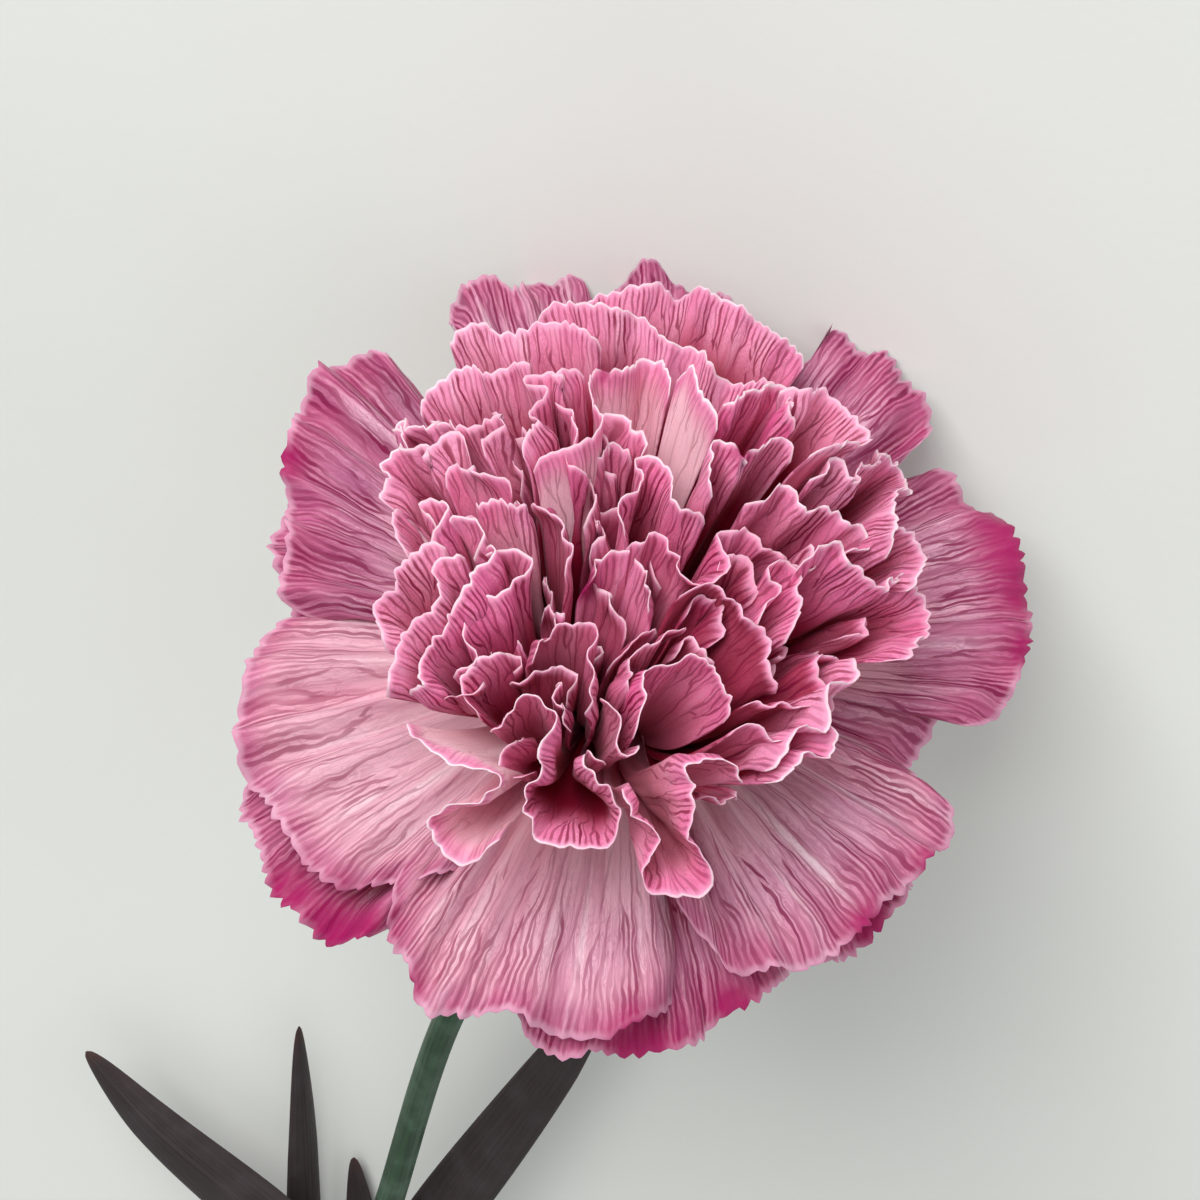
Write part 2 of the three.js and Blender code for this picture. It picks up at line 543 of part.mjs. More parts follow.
/** Outer radius of the calyx at a height, drawn in at the foot. */
function calyxOutside(along) {
  const top = CALYX_ROUNDING_HEIGHT - TUBE_LENGTH - CALYX_FLOOR;
  const share = Math.max(top - along, 0) / CALYX_ROUNDING_HEIGHT;
  return calyxInside(along) + CALYX_WALL - CALYX_ROUNDING * share ** 2;
}

/** The receptacle: a low dome at the foot of the tube that the claws stand on. */
function receptacleGeometry() {
  const foot = -TUBE_LENGTH + SEAT_GAP;
  const top = CLAW_START - SEAT_GAP;
  const heights = [foot, foot + RECEPTACLE_SHOULDER, top];
  const ring = (height, k) => axisRing(RECEPTACLE_SIDES, () => RECEPTACLE_RADII[k], () => height);
  return closedRings(heights.map(ring));
}

/** One of the scales that clasp the foot of the calyx. */
function bractGeometry(middleAngle) {
  const foot = -TUBE_LENGTH - BRACT_OVERHANG;
  const face = (wall) => BRACT_ROWS.map((row) => BRACT_COLUMNS.map((column) => {
    const along = foot + BRACT_LENGTH * row * (1 - BRACT_ROUNDING * column * column);
    const narrowed = 1 - BRACT_NARROWING * row ** BRACT_FULLNESS;
    const angle = middleAngle + BRACT_HALF_ANGLE * column * narrowed;
    return flowerPoint(angle, calyxOutside(along) + SEAT_GAP + wall, along);
  }));
  return closedSheet(face(0), face(BRACT_THICKNESS));
}

// ---- stem and leaves ---------------------------------------------------------------------
function stemCurve() {
  const foot = -TUBE_LENGTH - CALYX_FLOOR - SEAT_GAP;
  const start = [flowerPoint(0, 0, foot), flowerPoint(0, 0, foot - NECK_LENGTH)];
  return new THREE.CatmullRomCurve3([...start, ...STEM_LINE.map(pointAtHeight)], false, 'centripetal');
}

/** Share along the stem's curve of one of its drawn points. */
function stemShare(curve, index) {
  return (index + 2) / (curve.points.length - 1);
}

function stemRadius(curve, share) {
  const point = curve.getPoint(share);
  const swelling = STEM_NODES.map((index) => {
    const away = point.distanceTo(curve.getPoint(stemShare(curve, index)));
    return Math.exp(-((away / STEM_NODE_LENGTH) ** 2));
  });
  const neck = NECK_SWELLING * Math.exp(-share * NECK_FADE);
  return STEM_RADIUS + STEM_THICKENING * share + neck + STEM_SWELLING * Math.max(...swelling);
}

function stemGeometry() {
  const curve = stemCurve();
  const across = new THREE.Vector3(1, 0, 0);
  const rings = Array.from({ length: STEM_STEPS + 1 }, (_, step) => {
    const share = step / STEM_STEPS;
    const tangent = curve.getTangent(share);
    const up = new THREE.Vector3().crossVectors(across, tangent).normalize();
    const side = new THREE.Vector3().crossVectors(tangent, up);
    const middle = curve.getPoint(share);
    const radius = stemRadius(curve, share);
    return Array.from({ length: STEM_SIDES }, (__, k) => {
      const angle = k / STEM_SIDES * 2 * Math.PI;
      return middle.clone()
        .addScaledVector(side, radius * Math.cos(angle))
        .addScaledVector(up, radius * Math.sin(angle));
    });
  });
  return closedRings(rings);
}

/** Half width of a leaf at a share of its length: a clasping foot, a broad middle, a point. */
function leafOutline(share) {
  const foot = LEAF_FOOT * (1 - share) ** 3;
  const fullness = THREE.MathUtils.lerp(...LEAF_FULLNESS, share);
  const blade = Math.sin(Math.PI * share ** LEAF_BALANCE) ** fullness * (1 - LEAF_TAPER * share);
  return foot + blade + LEAF_TIP;
}

function leafGeometry({ node, width, twist, line }) {
  const curve = stemCurve();
  const share = stemShare(curve, node);
  const foot = curve.getPoint(share);
  const stemDirection = curve.getTangent(share);
  const points = line.map(pointAtHeight);
  const outward = points[0].clone().sub(foot);
  outward.addScaledVector(stemDirection, -outward.dot(stemDirection)).normalize();
  const clearance = stemRadius(curve, share) + SEAT_GAP + LEAF_THICKNESS / 2 + LEAF_KEEL * LEAF_SEATING;
  const seat = foot.clone().addScaledVector(outward, clearance);
  const middle = new THREE.CatmullRomCurve3([seat, ...points], false, 'centripetal');
  const face = (side) => Array.from({ length: LEAF_STEPS + 1 }, (_, step) => {
    const along = step / LEAF_STEPS;
    const tangent = middle.getTangent(along);
    const flat = new THREE.Vector3(0, 0, 1).addScaledVector(tangent, -tangent.z).normalize();
    flat.applyAxisAngle(tangent, twist);
    const across = new THREE.Vector3().crossVectors(tangent, flat);
    const half = width / 2 * leafOutline(along);
    return LEAF_COLUMNS.map((column) => {
      const gutter = LEAF_KEEL * (column * column - 0.5) * leafOutline(along);
      const rise = gutter + side * LEAF_THICKNESS / 2 * (1 + LEAF_EDGE - column * column);
      return middle.getPoint(along).addScaledVector(across, column * half).addScaledVector(flat, rise);
    });
  });
  return closedSheet(face(1), face(-1));
}

// ---- the flower ----------------------------------------------------------------------------
const flower = new THREE.Group();

function addPiece(name, geometry, material) {
  const mesh = new THREE.Mesh(geometry, new THREE.MeshStandardMaterial(material));
  mesh.name = name;
  flower.add(mesh);
}

for (const [name, petal] of Object.entries(GUARD_PETALS)) {
  addPiece(`guard_petal_${name}`, petalGeometry(petal, false), GUARD_MATERIAL);
}
for (const [name, petal] of Object.entries(CROWN_PETALS)) {
  addPiece(`crown_petal_${name}`, petalGeometry(petal, true), PETAL_MATERIAL);
}
addPiece('calyx', calyxGeometry(), CALYX_MATERIAL);
addPiece('receptacle', receptacleGeometry(), CALYX_MATERIAL);
for (let k = 0; k < BRACT_COUNT; k += 1) {
  const middleAngle = (k + 0.5) / BRACT_COUNT * 2 * Math.PI;
  addPiece(`calyx_bract_${k + 1}`, bractGeometry(middleAngle), CALYX_MATERIAL);
}
addPiece('stem', stemGeometry(), STEM_MATERIAL);
for (const [name, leaf] of Object.entries(LEAVES)) {
  addPiece(`leaf_${name}`, leafGeometry(leaf), LEAF_MATERIAL);
}

const box = new THREE.Box3().setFromObject(flower);
const centre = box.getCenter(new THREE.Vector3());
flower.position.set(-centre.x, -centre.y, -box.min.z);

export default flower;
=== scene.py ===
"""Cut carnation lying on its side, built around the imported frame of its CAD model.

Every petal grows from one floral axis. A ray rises inside the calyx tube, bends outwards
over the mouth and then runs straight. A place on the flower is named by a ray and by a
distance along it, and a petal is the fan of rays under its drawn margin. Shapes are worked
out in millimetres and set down in metres.
"""

import logging
import math
from dataclasses import dataclass, field
from enum import Enum
from typing import Any, Callable, Sequence

import bpy
import numpy as np
from mathutils import Matrix, Vector


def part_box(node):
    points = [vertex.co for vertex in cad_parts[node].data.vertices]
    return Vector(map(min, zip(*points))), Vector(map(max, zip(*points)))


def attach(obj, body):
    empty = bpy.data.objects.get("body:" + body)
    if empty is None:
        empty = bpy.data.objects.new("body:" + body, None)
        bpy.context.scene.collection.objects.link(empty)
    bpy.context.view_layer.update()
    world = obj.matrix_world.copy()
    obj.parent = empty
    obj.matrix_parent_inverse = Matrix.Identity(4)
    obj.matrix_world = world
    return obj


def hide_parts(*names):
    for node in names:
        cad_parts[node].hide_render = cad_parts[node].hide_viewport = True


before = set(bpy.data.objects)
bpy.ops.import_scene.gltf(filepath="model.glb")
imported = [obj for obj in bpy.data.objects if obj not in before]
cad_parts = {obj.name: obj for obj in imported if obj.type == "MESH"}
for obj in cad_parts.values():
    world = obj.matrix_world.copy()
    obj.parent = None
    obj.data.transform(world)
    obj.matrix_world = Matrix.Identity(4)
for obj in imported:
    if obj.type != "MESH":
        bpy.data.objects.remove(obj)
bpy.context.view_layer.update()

LOG = logging.getLogger("carnation")
MM = 0.001
Pair = tuple[float, float]
Triple = tuple[float, float, float]
Values = np.ndarray


# ---- numbers, curves and noise -------------------------------------------------------


def colour(code: str) -> tuple[float, float, float, float]:
    """Linear colour of a hex code.

    Args:
        code: the colour, as #rrggbb.

    Returns:
        Linear red, green and blue, and 1 for opaque.
    """
    parts = [int(code[k:k + 2], 16) / 255 for k in (1, 3, 5)]
    linear = [c / 12.92 if c <= 0.04045 else ((c + 0.055) / 1.055) ** 2.4 for c in parts]
    return (*linear, 1.0)


def ease(value: Values, low: float, high: float) -> Values:
    """Smooth step from 0 at low to 1 at high."""
    share = np.clip((value - low) / (high - low), 0, 1)
    return share * share * (3 - 2 * share)


def running_lengths(points: Values) -> Values:
    """Distance from the first point to each point of a line."""
    return np.r_[0, np.cumsum(np.linalg.norm(np.diff(points, axis=0), axis=1))]


def smooth_line(points: Sequence[Sequence[float]], steps: int) -> Values:
    """Centripetal spline through points.

    Args:
        points: the drawn points.
        steps: divisions between two of them.

    Returns:
        The points of the spline, drawn points included.
    """
    drawn = np.asarray(points, float)
    ends = (2 * drawn[:1] - drawn[1:2], drawn, 2 * drawn[-1:] - drawn[-2:-1])
    knots = np.vstack(ends)
    t = np.linspace(0, 1, steps, endpoint=False)[:, None]
    parts = []
    for k in range(1, len(knots) - 2):
        a, b, c, d = knots[k - 1:k + 3]
        pairs = ((a, b), (b, c), (c, d))
        before, here, after = (max(np.linalg.norm(q - p) ** 0.5, 1e-4) for p, q in pairs)
        leave = ((b - a) / before - (c - a) / (before + here) + (c - b) / here) * here
        arrive = ((c - b) / here - (d - b) / (here + after) + (d - c) / after) * here
        parts.append((2 * t**3 - 3 * t**2 + 1) * b + (t**3 - 2 * t**2 + t) * leave
                     + (3 * t**2 - 2 * t**3) * c + (t**3 - t**2) * arrive)
    return np.vstack([*parts, drawn[-1:]])


def sample(points: Values, lengths: Values, places: Values) -> Values:
    """Points of a line at places along it."""
    return np.stack([np.interp(places, lengths, points[:, k]) for k in range(points.shape[1])], -1)


def ripple(along: Values, waves: Pair, random: np.random.Generator) -> Values:
    """Irregular wave along a line, about -1 to 1.

    Args:
        along: distances along the line.
        waves: shortest and longest wave length.
        random: source of phases and lengths.

    Returns:
        The height of the wave at each distance.
    """
    parts = 5
    lengths = random.uniform(*waves, parts)
    phases = random.uniform(0, 2 * math.pi, parts)
    return sum(np.sin(2 * math.pi * along / w + p) for w, p in zip(lengths, phases)) / 2.6


def solve_pairs(evaluate: Callable[[Values], Values], start: Values, target: Values,
                cap: Pair) -> Values:
    """Newton's method for many pairs of unknowns at once.

    Args:
        evaluate: gives the values of a list of pairs.
        start: the first guess.
        target: the values to reach.
        cap: largest step of either unknown.

    Returns:
        The pairs that reach the target.
    """
    step, passes = 1e-4, 40
    value = start.copy()
    for _ in range(passes):
        here = evaluate(value)
        right = (evaluate(value + [step, 0]) - here) / step
        up = (evaluate(value + [0, step]) - here) / step
        error = target - here
        det = right[:, 0] * up[:, 1] - up[:, 0] * right[:, 1]
        det = np.where(np.abs(det) < 1e-9, 1e-9, det)
        move = np.stack([up[:, 1] * error[:, 0] - up[:, 0] * error[:, 1],
                         right[:, 0] * error[:, 1] - right[:, 1] * error[:, 0]], -1) / det[:, None]
        value = value + np.clip(move, -np.array(cap), np.array(cap))
    return value


# ---- the flower's own space ----------------------------------------------------------


@dataclass
class FlowerSpace:
    """The floral axis, its rays and the sheet that the margins are drawn on."""

    head_rise: float = math.radians(21)
    mouth_height: float = 32.0
    full_spread: float = math.radians(105)
    mouth_radius: float = 7.0
    claw_radius: float = 5.0
    tube_length: float = 28.0
    bend_length: float = 14.0
    sheet_tilt: float = math.radians(32)
    sheet_lean: float = math.radians(20)
    eye_distance: float = 320.0
    sheet_mouth: Pair = (603.0, 700.0)
    sheet_unit: float = 0.1
    floor_softness: float = 0.8
    swell_rise: Pair = (8.0, 15.0)
    swell_fall: Pair = (17.0, 31.0)
    swell_spread: Pair = (40.0, 75.0)
    swell_side: Pair = (-0.1, 0.3)
    swell_front: float = 0.8
    receptacle_profile: tuple[Pair, ...] = ((-27.7, 5.0), (-26.7, 5.2), (-25.3, 4.95))
    receptacle_sides: int = 24

    def __post_init__(self) -> None:
        """Work out the directions and where the CAD model was moved to."""
        rise, tilt, lean = self.head_rise, self.sheet_tilt, self.sheet_lean
        self.axis = np.array([0, -math.cos(rise), math.sin(rise)])
        self.side = np.array([-1.0, 0, 0])
        self.back = np.array([0, -math.sin(rise), -math.cos(rise)])
        self.mouth = np.array([0, 0, self.mouth_height])
        self.sight = self.axis * math.cos(tilt) - self.back * math.sin(tilt)
        upward = self.axis * math.sin(tilt) + self.back * math.cos(tilt)
        self.right = self.side * math.cos(lean) + upward * math.sin(lean)
        self.up = -self.side * math.sin(lean) + upward * math.cos(lean)
        self.shift = self.measure_shift()

    def measure_shift(self) -> Values:
        """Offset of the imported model, from the low corner of its receptacle.

        Returns:
            The offset in mm.
        """
        angles = np.arange(self.receptacle_sides) / self.receptacle_sides * 2 * math.pi
        rings = [self.point(angles, radius, along) for along, radius in self.receptacle_profile]
        return np.array(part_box("receptacle")[0]) / MM - np.vstack(rings).min(0)

    def point(self, angle: Values, radius: Values, along: Values) -> Values:
        """Points of the flower.

        Args:
            angle: around the axis.
            radius: away from the axis.
            along: past the calyx's mouth, towards the face.

        Returns:
            The points in mm.
        """
        across = radius * np.cos(angle)
        behind = radius * np.sin(angle)
        parts = zip(np.broadcast_arrays(across, behind, along), (self.side, self.back, self.axis))
        return self.mouth + sum(part[..., None] * way for part, way in parts)

    def ray_point(self, ray: Values, distance: Values, lean: float = 0.0) -> Values:
        """Points at distances along rays.

        Args:
            ray: points of the unit disc that name the rays.
            distance: how far along each ray.
            lean: how far the crown swells forward, over the lower guard petals.

        Returns:
            The points.
        """
        reach = np.hypot(ray[..., 0], ray[..., 1])
        turn = np.maximum(self.full_spread * reach, 1e-6)
        bent = np.clip(distance, 0, self.bend_length) / self.bend_length * turn
        bend_radius = self.bend_length / turn
        straight = np.maximum(distance - self.bend_length, 0)
        narrowing = (self.mouth_radius - self.claw_radius) / self.tube_length
        foot = self.mouth_radius + narrowing * np.clip(distance, -self.tube_length, 0)
        radius = foot * reach + bend_radius * (1 - np.cos(bent)) + straight * np.sin(turn)
        along = np.where(distance < 0, distance, bend_radius * np.sin(bent) + straight * np.cos(turn))
        swell = ease(along, *self.swell_rise) * (1 - ease(along, *self.swell_fall))
        swell = swell * (1 - ease(np.degrees(turn), *self.swell_spread))
        swell = swell * (1 - self.swell_front * ease(ray[..., 1], *self.swell_side))
        points = self.point(np.arctan2(ray[..., 1], ray[..., 0]), radius, along)
        return points - (lean * swell)[..., None] * self.back

    def seen_at(self, point: Values) -> Values:
        """Places of points on the sheet.

        Args:
            point: the points.

        Returns:
            Millimetres right of and above the mouth.
        """
        offset = point - self.mouth
        scale = self.eye_distance / (self.eye_distance - offset @ self.sight)
        return np.stack([offset @ self.right * scale, offset @ self.up * scale], -1)

    def from_sheet(self, drawn: Values) -> Values:
        """Drawn points in mm right of and above the mouth."""
        away = np.asarray(drawn, float)[..., :2] - self.sheet_mouth
        return away * [self.sheet_unit, -self.sheet_unit]

    def at_height(self, drawn: Sequence[float]) -> Values:
        """Point over the floor that is seen at a place of the sheet.

        Args:
            drawn: x and y on the sheet, and the height over the floor.

        Returns:
            The point in mm.
        """
        right, up = self.from_sheet(np.array(drawn[:2]))
        eye = self.mouth + self.sight * self.eye_distance
        line = self.mouth + self.right * right + self.up * up - eye
        return eye + line * (drawn[2] - eye[2]) / line[2]

    def rest(self, points: Values) -> Values:
        """Fold points up from the floor where they would sink into it.

        Args:
            points: points in mm.

        Returns:
            The points in metres, in place.
        """
        settled = points.copy()
        settled[..., 2] = self.floor_softness * np.log1p(np.exp(points[..., 2] / self.floor_softness))
        return self.place(settled)

    def place(self, points: Values) -> Values:
        """Points in metres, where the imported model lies."""
        return (points + self.shift) * MM


# ---- meshes --------------------------------------------------------------------------


@dataclass
class Sheet:
    """Closed mesh between two grids of points, with values for its material."""

    front: Values
    back: Values
    pattern: Values
    marks: dict[str, tuple[Values, Values]] = field(default_factory=dict)

    def faces(self) -> Values:
        """Quads of both faces and of the edge around them.

        Returns:
            Corner numbers, four for each face.
        """
        rows, columns = self.front.shape[:2]
        grid = np.arange(rows * columns).reshape(rows, columns)
        far = grid + rows * columns

        def quads(a: Values, b: Values, c: Values, d: Values) -> Values:
            """Quads of four corners each."""
            return np.stack([a.ravel(), b.ravel(), c.ravel(), d.ravel()], -1)

        return np.vstack([
            quads(grid[:-1, :-1], grid[:-1, 1:], grid[1:, 1:], grid[1:, :-1]),
            quads(far[:-1, :-1], far[1:, :-1], far[1:, 1:], far[:-1, 1:]),
            quads(far[0, :-1], far[0, 1:], grid[0, 1:], grid[0, :-1]),
            quads(grid[-1, :-1], grid[-1, 1:], far[-1, 1:], far[-1, :-1]),
            quads(grid[:-1, 0], grid[1:, 0], far[1:, 0], far[:-1, 0]),
            quads(grid[:-1, -1], far[:-1, -1], far[1:, -1], grid[1:, -1]),
        ])

    def mesh(self, name: str) -> bpy.types.Mesh:
        """Mesh of the sheet, with its pattern as a UV map and its marks as attributes.

        Args:
            name: name of the mesh.

        Returns:
            The mesh.
        """
        points = np.vstack([self.front.reshape(-1, 3), self.back.reshape(-1, 3)])
        uv = np.tile(self.pattern.reshape(-1, 2), (2, 1))
        marks = {key: np.r_[a.ravel(), b.ravel()] for key, (a, b) in self.marks.items()}
        return make_mesh(name, points, self.faces(), uv, marks)


def make_mesh(name: str, points: Values, quads: Values, uv: Values | None = None,
              marks: dict[str, Values] | None = None) -> bpy.types.Mesh:
    """Smooth mesh of quads that all face outwards.

    Args:
        name: name of the mesh.
        points: corners in metres.
        quads: corner numbers, four for each face.
        uv: pattern coordinates for each corner.
        marks: values for each corner, by attribute name.

    Returns:
        The mesh.
    """
    a, b, c, d = (points[quads[:, k]] for k in range(4))
    volume = np.einsum("ij,ij->", a, np.cross(b, c)) + np.einsum("ij,ij->", a, np.cross(c, d))
    if volume < 0:
        quads = quads[:, ::-1]
    mesh = bpy.data.meshes.new(name)
    mesh.vertices.add(len(points))
    mesh.vertices.foreach_set("co", points.astype(np.float32).ravel())
    mesh.loops.add(quads.size)
    mesh.loops.foreach_set("vertex_index", quads.astype(np.int32).ravel())
    mesh.polygons.add(len(quads))
    mesh.polygons.foreach_set("loop_start", np.arange(0, quads.size, 4, dtype=np.int32))
    mesh.update(calc_edges=True)
    mesh.shade_smooth()
    if uv is not None:
        layer = mesh.uv_layers.new(name="pattern")
        layer.data.foreach_set("uv", uv[quads.ravel()].astype(np.float32).ravel())
    for key, values in (marks or {}).items():
        attribute = mesh.attributes.new(key, "FLOAT", "POINT")
        attribute.data.foreach_set("value", values.astype(np.float32))
    return mesh


def ring_quads(rings: int, sides: int, closed: bool = False) -> Values:
    """Quads between rings of points.

    Args:
        rings: number of rings.
        sides: points in a ring.
        closed: whether the last ring is joined to the first.

    Returns:
        Corner numbers, four for each face.
    """
    grid = np.arange(rings * sides).reshape(rings, sides)
    after = np.roll(grid, -1, 0) if closed else grid[1:]
    here = grid if closed else grid[:-1]
    turned, after_turned = np.roll(here, -1, 1), np.roll(after, -1, 1)
    return np.stack([here.ravel(), turned.ravel(), after_turned.ravel(), after.ravel()], -1)


def add_piece(name: str, mesh: bpy.types.Mesh, material: bpy.types.Material, slot: str,
              nodes: Sequence[str] = ()) -> bpy.types.Object:
    """Put a finished mesh in the scene, hide the CAD nodes that it replaces and log its slot.

    Args:
        name: name of the piece.
        mesh: its mesh, in place.
        material: its finish.
        slot: the material slot that is logged for it.
        nodes: CAD nodes that it replaces.

    Returns:
        The piece.
    """
    piece = bpy.data.objects.new(name, mesh)
    bpy.context.scene.collection.objects.link(piece)
    mesh.materials.clear()
    mesh.materials.append(material)
    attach(piece, "root")
    if nodes:
        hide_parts(*nodes)
    LOG.info("%s: %d faces, slot %s", name, len(mesh.polygons), slot)
    return piece


# ---- node trees ----------------------------------------------------------------------


class Wire:
    """An output of a node, with arithmetic that adds Math nodes."""

    def __init__(self, tree: "Tree", socket: bpy.types.NodeSocket) -> None:
        """Keep the tree and the output."""
        self.tree = tree
        self.socket = socket

    def math(self, operation: str, first: Any, second: Any) -> "Wire":
        """Result of a Math node on two values."""
        return self.tree.node("ShaderNodeMath", {"operation": operation}, {0: first, 1: second})[0]

    def __add__(self, other: Any) -> "Wire":
        """Sum."""
        return self.math("ADD", self, other)

    __radd__ = __add__

    def __sub__(self, other: Any) -> "Wire":
        """Difference."""
        return self.math("SUBTRACT", self, other)

    def __rsub__(self, other: Any) -> "Wire":
        """Difference from a number."""
        return self.math("SUBTRACT", other, self)

    def __mul__(self, other: Any) -> "Wire":
        """Product."""
        return self.math("MULTIPLY", self, other)

    __rmul__ = __mul__

    def __truediv__(self, other: Any) -> "Wire":
        """Quotient."""
        return self.math("DIVIDE", self, other)

    def __abs__(self) -> "Wire":
        """Size without sign."""
        return self.math("ABSOLUTE", self, 0.0)

    def between(self, low: Any, high: Any) -> "Wire":
        """Smooth step from 0 at low to 1 at high."""
        settings = {"interpolation_type": "SMOOTHSTEP"}
        return self.tree.node("ShaderNodeMapRange", settings, {"Value": self, 1: low, 2: high})["Result"]


class Made:
    """A node whose outputs are wires."""

    def __init__(self, tree: "Tree", node: bpy.types.Node) -> None:
        """Keep the tree and the node."""
        self.tree = tree
        self.node = node

    def __getitem__(self, key: str | int) -> Wire:
        """Output by name or place."""
        return Wire(self.tree, self.node.outputs[key])


class Tree:
    """A node tree that is written as expressions."""

    def __init__(self, tree: bpy.types.NodeTree) -> None:
        """Keep the tree."""
        self.tree = tree

    def node(self, kind: str, settings: dict[str, Any] | None = None,
             sockets: dict[str | int, Any] | None = None) -> Made:
        """Add a node.

        Args:
            kind: type of the node.
            settings: its own settings, made first.
            sockets: values or wires for its inputs.

        Returns:
            The node.
        """
        node = self.tree.nodes.new(kind)
        for key, value in (settings or {}).items():
            setattr(node, key, value)
        for key, value in (sockets or {}).items():
            if isinstance(value, Wire):
                self.tree.links.new(value.socket, node.inputs[key])
            else:
                node.inputs[key].default_value = value
        return Made(self, node)

    def vector(self, operation: str, first: Any, second: Any) -> Wire:
        """Result of a Vector Math node on two vectors."""
        settings = {"operation": operation}
        return self.node("ShaderNodeVectorMath", settings, {0: first, 1: second})["Vector"]


class MaterialTree(Tree):
    """Node tree of a new material."""

    def __init__(self, name: str) -> None:
        """Start an empty material."""
        self.material = bpy.data.materials.new(name)
        self.material.use_nodes = True
        super().__init__(self.material.node_tree)
        self.tree.nodes.clear()

    def mark(self, name: str) -> Wire:
        """Value of a mesh attribute."""
        return self.node("ShaderNodeAttribute", {"attribute_name": name})["Fac"]

    def place(self) -> Wire:
        """Object coordinates."""
        return self.node("ShaderNodeTexCoord")["Object"]

    def pattern(self) -> Wire:
        """The piece's own pattern coordinates, in millimetres."""
        return self.node("ShaderNodeUVMap", {"uv_map": "pattern"})["UV"]

    def across(self) -> Wire:
        """The pattern coordinate that runs across a petal."""
        return self.node("ShaderNodeSeparateXYZ", None, {"Vector": self.pattern()})["X"]

    def drawn_out(self, stretch: Triple, detail: float = 2.0) -> Made:
        """Noise on the pattern coordinates, drawn out along the piece."""
        return self.noise(self.vector("MULTIPLY", self.pattern(), stretch), 1.0, detail)

    def noise(self, where: Wire, scale: float, detail: float = 2.0) -> Made:
        """Noise texture at a place."""
        return self.node("ShaderNodeTexNoise", None, {"Vector": where, "Scale": scale, "Detail": detail})

    def chance(self, number: Wire) -> Wire:
        """Random value, 0 to 1, that belongs to a number."""
        return self.node("ShaderNodeTexWhiteNoise", {"noise_dimensions": "1D"}, {"W": number})["Value"]

    def mix(self, first: Any, second: Any, share: Any) -> Wire:
        """Colour between two colours."""
        return self.node("ShaderNodeMix", {"data_type": "RGBA"}, {0: share, 6: first, 7: second})[2]

    def layers(self, ground: Any, coats: Sequence[tuple[str, Any]]) -> Wire:
        """Lay thin coats over a colour.

        Args:
            ground: colour under the coats.
            coats: colour code of each coat and how much it covers.

        Returns:
            The colour of the last coat.
        """
        for code, share in coats:
            ground = self.mix(ground, colour(code), share)
        return ground

    def finish(self, shader: dict[str, Any], height: Wire, relief: float) -> bpy.types.Material:
        """Close the material.

        Args:
            shader: values or wires of the Principled shader.
            height: height of the relief, 0 to 1.
            relief: depth of the relief in metres.

        Returns:
            The material.
        """
        bump = self.node("ShaderNodeBump", None, {"Height": height, "Distance": relief, "Strength": 1.0})
        surface = self.node("ShaderNodeBsdfPrincipled", None, {**shader, "Normal": bump["Normal"]})
        self.node("ShaderNodeOutputMaterial", None, {"Surface": surface["BSDF"]})
        return self.material


def growth_tree(name: str, inputs: dict[str, str]) -> Tree:
    """Empty geometry tree with named inputs and one output.

    Args:
        name: name of the tree.
        inputs: kind of socket by the input's name, the start mesh first.

    Returns:
        The tree.
    """
    group = bpy.data.node_groups.new(name, "GeometryNodeTree")
    for key, kind in inputs.items():
        group.interface.new_socket(key, in_out="INPUT", socket_type=f"NodeSocket{kind}")
    group.interface.new_socket("Grown", in_out="OUTPUT", socket_type="NodeSocketGeometry")
    return Tree(group)


def dressed(tree: Tree, geometry: Wire, finish: Wire) -> bpy.types.GeometryNodeTree:
    """End a geometry tree.

    Args:
        tree: the tree.
        geometry: what it has made.
        finish: the material that it gets.

    Returns:
        The tree's data.
    """
    last = tree.node("GeometryNodeSetMaterial", None, {"Geometry": geometry, "Material": finish})
    tree.node("NodeGroupOutput", None, {0: last["Geometry"]})
    return tree.tree


def grown(start: bpy.types.Mesh, group: bpy.types.GeometryNodeTree,
          values: dict[str, Any]) -> bpy.types.Mesh:
    """Plain mesh that a geometry tree makes from a start mesh.

    Args:
        start: mesh that goes in.
        group: the tree.
        values: its inputs by name.

    Returns:
        The mesh that comes out.
    """
    carrier = bpy.data.objects.new("carrier", start)
    bpy.context.scene.collection.objects.link(carrier)
    modifier = carrier.modifiers.new("growth", "NODES")
    modifier.node_group = group
    for item in group.interface.items_tree:
        if item.item_type == "SOCKET" and item.in_out == "INPUT" and item.name in values:
            modifier[item.identifier] = values[item.name]
    graph = bpy.context.evaluated_depsgraph_get()
    mesh = bpy.data.meshes.new_from_object(carrier.evaluated_get(graph), preserve_all_data_layers=True,
                                           depsgraph=graph)
    carrier.modifiers.clear()
    bpy.data.objects.remove(carrier)
    return mesh


# ---- finishes ------------------------------------------------------------------------


